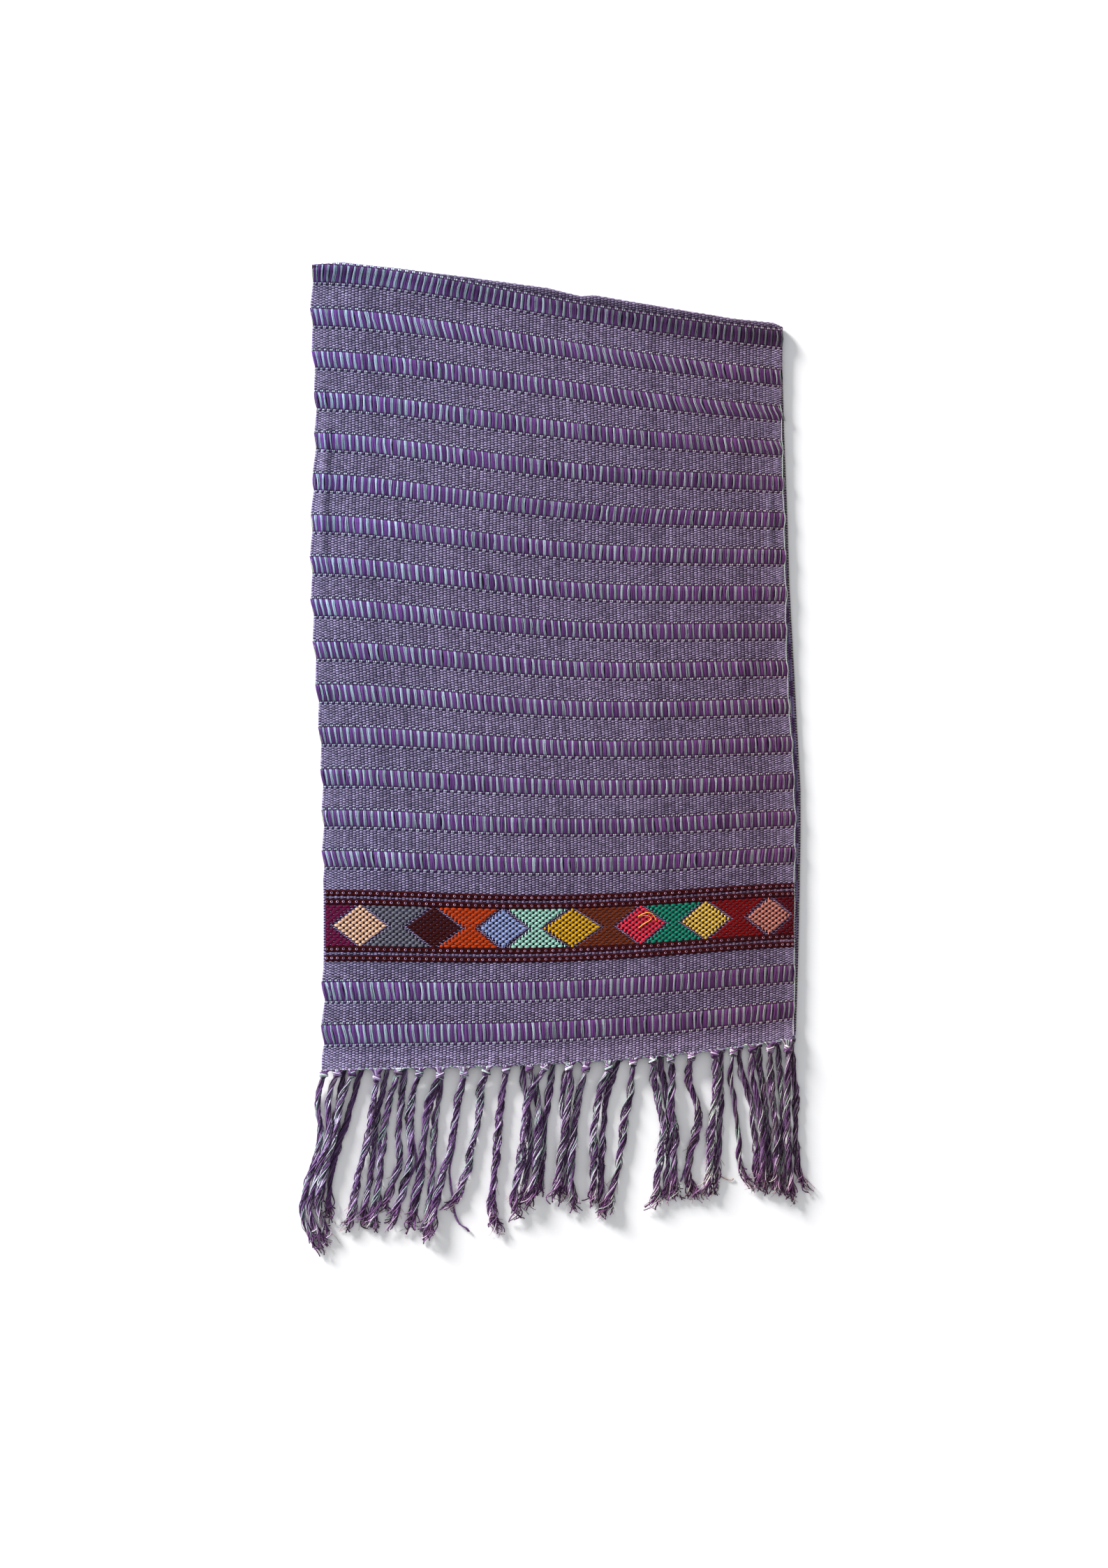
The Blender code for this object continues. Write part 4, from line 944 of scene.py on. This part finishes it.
BACK_TASSELS = (
    # y of tip, x at seven heights from knot to tip, width
    (-435, -199, -203, -207, -211, -216, -221, -227, 5.6),
    (-443, -181, -189, -196, -204, -211, -214, -213, 5.6),
    (-451, -157, -163, -169, -172, -174, -179, -182, 5.6),
    (-435, -140, -144, -146, -148, -147, -155, -162, 5.6),
    (-461, -106, -108, -113, -114, -116, -120, -123, 5.6),
    (-428, -30, -28, -24, -22, -23, -27, -30, 5.6),
    (-420, 1, -3, -6, -8, -10, -12, -14, 5.6),
    (-424, 14, 10, 8, 11, 12, 10, 9, 5.0),
    (-439, 64, 54, 49, 47, 46, 46, 47, 5.6),
    (-426, 102, 105, 109, 112, 110, 109, 105, 5.6),
    (-417, 161, 160, 160, 159, 158, 156, 153, 5.0),
    (-413, 178, 179, 187, 190, 193, 194, 194, 5.6),
    (-417, 196, 197, 201, 203, 205, 206, 206, 5.6),
    (-419, 214, 216, 217, 218, 218, 219, 219, 5.0),
    (-417, 228, 229, 231, 231, 232, 234, 242, 5.6),
)
LOCK_STEPS = 36
END_RADIUS = 0.03  # a tube this thin at its ends counts as closed
KNOT_WRAPS = (9, 3)  # yarns wound round a knot, and yarns that cross over them
FAN_ENDS = 14
FIBRES = 5  # stray fibres to a tassel
PLY_TURN = (58, 84)  # a tassel's plies wind round it once in this, in mm,
YARN_TURN = (28, 40)  # and a ply's yarns round it
YARN_PALETTE = np.array([dyed(*colour) for colour in (
    (80, 54, 94), (62, 40, 74), (98, 74, 112), (80, 60, 90), (140, 126, 156),
    (170, 164, 184), (132, 156, 148), (168, 182, 176), (90, 78, 90), (38, 27, 42),
)])
PALETTE_SHARES = np.array([0.17, 0.15, 0.12, 0.1, 0.1, 0.09, 0.1, 0.08, 0.04, 0.05])


def picked(dice, count, colours=len(PALETTE_SHARES)):
    """Dyes for so many yarns, drawn by their shares from the palette's first few colours."""
    shares = PALETTE_SHARES[:colours] / PALETTE_SHARES[:colours].sum()
    return YARN_PALETTE[dice.choice(colours, count, p=shares)]


def fringe_light_fall(x):
    """The cloth's painted light falloff, weaker in the fringe."""
    return 0.4 + 0.6 * light_fall(x / WIDTH + 0.5, 0)


def tapered(yarns, steps, radius):
    """The radii of even yarns that close at both ends."""
    radii = np.full((yarns, steps), radius)
    radii[:, [0, -1]] = END_RADIUS
    return radii


def through(points, steps):
    """A smooth path through given points."""
    points = np.array(points, float)
    at, t = np.linspace(0, 1, len(points)), np.linspace(0, 1, steps)
    return np.stack([spline(at, column, t) for column in points.T], axis=-1)


def tubes(path, radius, colour, sides=3):
    """Closed round yarns carried along paths: points by yarn and step, with a section of a few
    places turned square to the path. A radius near nothing at both ends closes them."""
    ahead = np.gradient(path, axis=1)
    ahead = ahead / np.maximum(np.linalg.norm(ahead, axis=2, keepdims=True), 1e-9)
    up = np.zeros_like(ahead)
    up[..., 2] = 1.0
    up[np.abs(ahead[..., 2]) > 0.9] = (0.0, 1.0, 0.0)
    aside = np.cross(ahead, up)
    aside = aside / np.maximum(np.linalg.norm(aside, axis=2, keepdims=True), 1e-9)
    above = np.cross(aside, ahead)
    angle = 2 * math.pi * (np.arange(sides) + 0.25) / sides
    ring = np.cos(angle)[:, None] * aside[:, :, None] + np.sin(angle)[:, None] * above[:, :, None]
    points = path[:, :, None] + ring * radius[:, :, None, None]
    points[..., 2] = np.maximum(points[..., 2], 0.02)
    return points, np.broadcast_to(colour[:, :, None], points.shape), True


def joined(bunches, sides=3):
    """Tubes for many bunches of like yarns at once."""
    return tubes(*(np.concatenate(part) for part in zip(*bunches)), sides)


def routes(knot_y, tip_y, places):
    """Tassel middles in plan: x is a spline through seven places from knot to tip, y runs evenly."""
    t = np.linspace(0, 1, LOCK_STEPS)
    x = np.array([spline(np.linspace(0, 1, 7), row, t) for row in places])
    return x, knot_y[:, None] + (tip_y - knot_y)[:, None] * t


def over_others(x, y, width, others):
    """How fully, 0 to 1, a tassel lies over the back fringe: it rises where it comes within a few
    millimetres of a back tassel, up to just past that one's tip."""
    share = np.zeros_like(x)
    for other_x, other_y, other_width in zip(*others):
        at = np.interp(-y, -other_y, other_x)
        clear = np.abs(x - at) - (width + other_width) / 2
        near = smooth(1 - clear / 3.5) * smooth((y - other_y[-1] + 9) / 9)
        share = np.maximum(share, near)
    return np.convolve(np.pad(share, 2, mode="edge"), np.ones(5) / 5, mode="valid")


def tassel(x, y, z, width, yarns, seed):
    """Yarns of one tassel. Three plies wind round the middle once in 70 mm, and each ply's yarns
    wind round it once in 34 mm. The bundle is narrow under the knot, swells and pinches on its
    way, opens at the tip, and its yarns end unevenly and curl there."""
    dice = np.random.default_rng(seed)
    length = np.hypot(x[-1] - x[0], y[-1] - y[0])
    places = np.linspace(0, 1, LOCK_STEPS)
    t = 1 - (1 - places[None, :]) ** 1.2
    s = t * np.clip(dice.normal(0.985, 0.03, (yarns, 1)), 0.86, 1.04)
    ply = (np.arange(yarns) % 3)[:, None]
    swell = 1 + 0.16 * np.sin(2 * math.pi * (s * dice.uniform(1.4, 2.4) + dice.random()))
    swell = (swell + 0.35 * smooth((s - 0.8) / 0.2)) * (0.62 + 0.38 * smooth(s / 0.14))
    half = width / 2 * swell
    turn_ply = 2 * math.pi * (s * length / dice.uniform(*PLY_TURN) + ply / 3 + dice.random())
    turn_yarn = 2 * math.pi * (s * length / dice.uniform(*YARN_TURN) + dice.random((yarns, 1)))
    far = np.sqrt(dice.random((yarns, 1)))
    loose = smooth((s - 0.72) / 0.28)
    wave = dice.normal(0, 1, (yarns, 4, 1))
    stray = wave[:, 0] * np.sin(9 * s + 3 * wave[:, 1]) + loose * wave[:, 2] * np.sin(31 * s + 3 * wave[:, 3])
    aside = half * (0.46 * np.cos(turn_ply) + 0.50 * far * np.cos(turn_yarn)) + stray * (0.15 + 1.5 * loose)
    tall = np.minimum(half, 3.4) * 0.62 * (0.46 * np.sin(turn_ply) + 0.50 * far * np.sin(turn_yarn))
    tip = np.clip((t - 0.92) / 0.08, 0, 1)
    curl = tip * dice.uniform(-2.6, 2.6, (yarns, 1))
    run = 0.055 * length * tip
    path_x = np.interp(s, places, x) + aside + 0.5 * run * curl * np.sinc(curl / 2 / math.pi) ** 2
    path_y = np.interp(s, places, y) + 0.6 * wave[:, 1] * loose - (s > 1) * (s - 1) * length
    path_y = path_y + run * (1 - np.sinc(curl / math.pi))
    path_z = np.maximum(np.interp(s, places, z) + tall, 0.45)
    path = np.stack([path_x, path_y, path_z], axis=-1)
    path[:, -1] = 0.93 * path[:, -2] + 0.07 * path[:, -1]
    dye = picked(dice, yarns)
    radius = 0.6 * dice.uniform(0.8, 1.2, (yarns, 1)) * np.where(dye[:, 1:2] > 0.18, 0.66, 1)
    radius = np.tile(radius, (1, LOCK_STEPS))
    radius[:, [0, -1]] = END_RADIUS
    colour = dye[:, None, :] * dice.uniform(0.8, 1.15, (yarns, 1, 1)) * fringe_light_fall(x.mean())
    mottle = 1 + 0.12 * np.sin(2 * math.pi * (s * length / 9 + dice.random((yarns, 1))))
    # Painted shade: yarns on the underside of the bundle are darker than those on top.
    underside_shade = 0.62 + 0.38 * smooth((tall / np.maximum(half * 0.5, 0.5) + 0.6))
    pinker = 1 + np.array([0.2, -0.05, 0.0]) * loose[..., None]
    return path, radius, colour * (mottle * underside_shade)[..., None] * pinker


def hairs(x, y, z, width, seed):
    """A few single fibres that stray from a tassel and curl away, most of them near its tip."""
    dice = np.random.default_rng(seed)
    each = (FIBRES, 1)
    t = np.linspace(0, 1, 12)[None, :]
    start = 1 - 0.5 * dice.random(each) ** 2 - 0.04
    s = start + t * dice.uniform(0.04, 0.11, each)
    places = np.linspace(0, 1, len(x))
    way = dice.choice([-1, 1], each)
    curl = way * (width * 0.4 * (0.4 + 0.6 * t) + dice.uniform(0.5, 4.5, each) * t**1.5)
    curl = curl + dice.normal(0, 1.0, each) * np.sin(6 * t + dice.normal(0, 1, each))
    path_y = np.interp(s, places, y) - np.maximum(s - 1, 0) * 60 + dice.normal(0, 1.0, each) * np.sin(5 * t)
    path_z = np.maximum(np.interp(s, places, z) * (1 - 0.8 * t) + 0.3, 0.3)
    path = np.stack([np.interp(s, places, x) + curl, path_y, path_z], axis=-1)
    return path, tapered(FIBRES, t.size, 0.2), dyed(170, 138, 150) * dice.uniform(0.6, 1.2, (FIBRES, 1, 1))


def knot(centre, size, seed):
    """An overhand knot: nine yarns wound round an egg-shaped bundle, each ring as wide as the egg
    is at its level and all tipped one way, and three more that cross over them the other way."""
    dice = np.random.default_rng(seed)
    angle = np.linspace(0, 2 * math.pi, 13)[None, :]
    level = [np.linspace(top, -top, wraps) for top, wraps in zip((0.9, 0.24), KNOT_WRAPS)]
    level = np.concatenate(level)[:, None]
    over = np.repeat([0.0, 1.0], KNOT_WRAPS)[:, None]
    lean = dice.choice([-1, 1]) * dice.uniform(0.2, 0.5)
    tip = np.where(over > 0, -1.2 * lean, lean * (1 - 0.5 * level**2))
    reach = np.sqrt(1 - 0.9 * level**2) * (0.9 + 0.14 * over)
    x = centre[0] + size[0] * reach * np.cos(angle)
    y = centre[1] + size[1] * (level + tip * np.cos(angle)) * (1 - 0.1 * over)
    z = np.maximum(centre[2] + size[2] * reach * np.sin(angle), 0.5)
    dye = picked(dice, len(x), 9) * dice.uniform(0.9, 1.15, (len(x), 1)) * fringe_light_fall(centre[0])
    wrap = np.stack([x, y, z], axis=-1), np.full(x.shape, 0.17 * size[1]), dye[:, None, :]
    down = np.linspace(-1, 1, 6)[None, :]
    core = np.array(centre) + down[..., None] * np.array([0, 0.95 * size[1], 0])
    thick = np.sqrt(np.maximum(1 - down**2, 0.0)) * size[2] * 0.92 + 0.02
    # The core is the real bundle of warp ends, dyed a dark purple that also stands as painted shade deep
    # inside the knot.
    return wrap, (core, thick, dyed(46, 24, 56)[None, None])


def gathered(x, edge_y, y, z_edge, z, seed, spread):
    """The warp ends that leave the cloth's edge in a fan and draw together into the knot. The outer
    ones run along the edge first and then turn down."""
    dice = np.random.default_rng(seed)
    place = np.linspace(-1, 1, FAN_ENDS)[:, None]
    t = np.linspace(0, 1, 7)[None, :]
    fan = place * (spread * (1 - t) ** 1.25 + 2.2 * t)
    late = t ** (1 + 0.9 * np.abs(place))
    path_y = edge_y + 0.4 + (y - edge_y - 0.4) * late
    path_z = z_edge + 0.5 + (z - z_edge - 0.5) * t + 0.9 * np.sin(math.pi * t) * (1 - 0.6 * place**2)
    path = np.stack([x + fan, path_y, np.maximum(path_z, 0.5)], axis=-1)
    return path, tapered(FAN_ENDS, t.size, 0.55), (picked(dice, FAN_ENDS, 9) * fringe_light_fall(x))[:, None]


def edge_cord(edge, turns):
    """Two yarns twined along the edge of the cloth, one mint and one lavender."""
    t = np.linspace(0, 1, 330)
    middle = np.stack([np.interp(t, np.linspace(0, 1, len(edge)), column) for column in edge.T], axis=-1)
    angle = 2 * math.pi * turns * t + np.array([[0], [math.pi]])
    path = middle + np.stack([0 * angle, 0.55 * np.cos(angle), 0.5 * np.sin(angle)], axis=-1)
    return path, tapered(2, len(t), 0.6), np.array([[dyed(140, 164, 150)], [dyed(126, 110, 150)]])


def strand(points, yarns, thick, seed, colour=dyed(112, 78, 128)):
    """A thin lock of a few yarns along given points of its own."""
    dice = np.random.default_rng(seed)
    steps = 22
    angle = 2 * math.pi * (np.linspace(0, 4, steps) + np.arange(yarns)[:, None] / yarns)
    path = np.tile(through(points, steps), (yarns, 1, 1))
    path[..., 0] += thick * 0.5 * np.cos(angle) + dice.normal(0, 0.15, (yarns, 1))
    path[..., 2] = np.maximum(path[..., 2] + thick * 0.3 * np.sin(angle), 0.4)
    path[:, -1] = 0.9 * path[:, -2] + 0.1 * path[:, -1]
    return path, tapered(yarns, steps, 0.42), colour * dice.uniform(0.7, 1.2, (yarns, 1, 1))


def fringe(name, edge, tassels, heights, knots, size, yarns, extras, seed):
    """A whole fringe in one piece: the edge's cord, gathers, knots, tassels and stray yarns."""
    locks, fibres, wraps, cores, fans = [], [], [], [], []
    for k, (x, y, width) in enumerate(zip(*tassels)):
        centre = knots[k]
        locks.append(tassel(x, y, heights[k], width * 1.32, yarns, seed + k))
        fibres.append(hairs(x, y, heights[k], width * 1.32, seed + 100 + k))
        wrap, core = knot(centre, size, seed + 200 + k)
        wraps.append(wrap)
        cores.append(core)
        edge_y = np.interp(centre[0], edge[:, 0], edge[:, 1])
        spread = 8.6 if width > 5 else 4.8
        fan = gathered(centre[0], edge_y, centre[1], edge[0, 2], centre[2], seed + 300 + k, spread)
        sides = min(edge[0, 0] + 0.8, centre[0] - 2.2), max(edge[-1, 0] - 0.8, centre[0] + 2.2)
        fan[0][..., 0] = np.clip(fan[0][..., 0], *sides)
        fans.append(fan)
    groups = [tubes(*edge_cord(edge, 56), 4)]
    groups += [joined(bunches) for bunches in (locks, fibres, fans, extras, wraps) if bunches]
    groups.append(joined(cores, 7))
    piece = yarn_piece(name + "_yarns", groups, fringe_finish)
    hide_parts(name)
    return piece


edge_u = np.linspace(0.003, 0.997, 33)
front_x, front_y = weft_line(edge_u, np.full_like(edge_u, CLOTH_END))
front_edge = np.stack([front_x, front_y - 0.45, np.full_like(edge_u, KNOT_HEIGHT + 0.2)], axis=-1)
back_y = back_end(edge_u)
back_left = WEFT_LINES[-1][6] + BACK_INSET
back_right = np.interp(back_y[-1], BACK_SELVEDGE[:, 0], BACK_SELVEDGE[:, 1])
back_x = back_left + (back_right - back_left) * edge_u
back_edge = np.stack([back_x, back_y - 0.9, np.full_like(edge_u, BACK_HEIGHT)], axis=-1)

rows = np.array(BACK_TASSELS, float)
knot_y = np.interp(rows[:, 1], back_x, back_y) - 4.2
back_routes = (*routes(knot_y, rows[:, 0], rows[:, 1:8]), rows[:, 8])
back_heights = np.full_like(back_routes[0], 1.7)
back_knots = [(x, y, 1.6) for x, y in zip(rows[:, 1], knot_y)]

rows = np.array(FRONT_TASSELS, float)
knot_y = np.minimum(rows[:, 0], np.interp(rows[:, 2], front_x, front_y) - 4.6)
front_routes = (*routes(knot_y, rows[:, 1], rows[:, 2:9]), rows[:, 9])
fall = 1 - smooth(np.linspace(0, 1, LOCK_STEPS) / 0.12)
front_heights = []
for x, y, width in zip(*front_routes):
    high = 2.3 + 2.3 * over_others(x, y, width, back_routes)
    front_heights.append(high + (KNOT_HEIGHT - high) * fall)
front_knots = [(x, y, KNOT_HEIGHT) for x, y in zip(rows[:, 2], knot_y)]
front_extras = [
    strand([(-93, -359, 3.0), (-95.7, -377.5, 1.6), (-99, -393, 1.2), (-98, -408, 1.2), (-96.5, -420, 1.2),
            (-94.5, -434, 1.2), (-89.7, -446, 1.2), (-83, -450, 1.1), (-79.8, -456, 1.0)], 5, 1.6, 41),
    strand([(-86, -413.5, 3.4), (-88.5, -419, 1.6), (-95.7, -422.5, 1.2), (-103, -428.5, 1.0),
            (-109, -434, 0.9)], 5, 1.4, 42),
    strand([(-134, -359, 3.0), (-132.4, -373.5, 1.6), (-130.8, -383.5, 1.3), (-133.8, -395.5, 1.2),
            (-139.8, -408, 1.1)], 6, 1.8, 43),
    strand([(130, -380, 2.4), (126, -391, 1.2), (123, -402, 1.0), (121, -406, 0.9)], 3, 1.0, 44),
    strand([(150, -388, 2.4), (155, -396, 1.1), (162, -402, 0.9), (170, -404.5, 0.8),
            (172, -402, 0.8)], 2, 0.7, 45, dyed(150, 120, 110)),
    strand([(-229, -440, 2.4), (-234, -452, 1.4), (-230, -464, 1.1), (-222, -471, 1.0)], 6, 2.0, 46),
]
fringe_finish = yarn_finish("fringe_cotton", 0.7, 0.10, 0.4)
front_parts = (front_edge, front_routes, front_heights, front_knots)
fringe_front = fringe("fringe_front", *front_parts, (3.9, 3.7, 2.4), 25, front_extras, 1000)
back_parts = (back_edge, back_routes, back_heights, back_knots)
fringe_back = fringe("fringe_back", *back_parts, (3.2, 3.2, 1.1), 19, [], 3000)


# The stray thread. One thin end of yellow inlay yarn was left uncut on the red diamond, and
# it curls over the weave there.
stray_path = through([
    (81.0, -164.0, 5.0), (87.5, -159.0, 5.5), (93.4, -154.7, 5.3), (88.0, -151.5, 5.2), (81.0, -152.7, 5.3),
    (85.7, -150.0, 5.6), (91.7, -149.1, 5.6), (96.0, -152.0, 5.3), (98.3, -157.3, 5.0),
], 60)[None]
stray_finish = yarn_finish("stray_thread_cotton", 0.7, 0.1, 0.3)
stray_tube = tubes(stray_path, tapered(1, 60, 0.27), dyed(226, 178, 60)[None, None], 5)
stray_thread = yarn_piece("stray_thread", [stray_tube], stray_finish)


# The table and the light. A plain white table under an even sky, and one big soft lamp far off
# to the upper left, low enough to rake over the weave and throw a soft shadow down right.
bpy.ops.mesh.primitive_plane_add(size=8.0, location=(0, 0, -0.0003))
table = bpy.context.object
table.name = "table_top"
paint = bpy.data.materials.new("table_white")
paint.use_nodes = True
shader = paint.node_tree.nodes["Principled BSDF"]
shader.inputs["Base Color"].default_value = (0.93, 0.93, 0.94, 1)
shader.inputs["Roughness"].default_value = 0.7
table.data.materials.append(paint)

world = bpy.data.worlds.new("even_sky")
world.use_nodes = True
sky = world.node_tree.nodes["Background"]
sky.inputs["Color"].default_value = (0.97, 0.98, 1.0, 1)
sky.inputs["Strength"].default_value = 0.58
bpy.context.scene.world = world
LAMP_PLACE = np.array([-6.8, 6.8, 1.75])
lamp = bpy.data.lights.new("window_lamp", "AREA")
lamp.shape = "DISK"
lamp.size = 3.2
lamp.energy = 3950.0
lamp.color = (1.0, 0.99, 0.975)
lamp_object = bpy.data.objects.new("window_lamp", lamp)
lamp_object.location = LAMP_PLACE
lean = math.atan2(math.hypot(*LAMP_PLACE[:2]), LAMP_PLACE[2])
lamp_object.rotation_euler = (lean, 0, math.atan2(LAMP_PLACE[0], -LAMP_PLACE[1]))
bpy.context.scene.collection.objects.link(lamp_object)
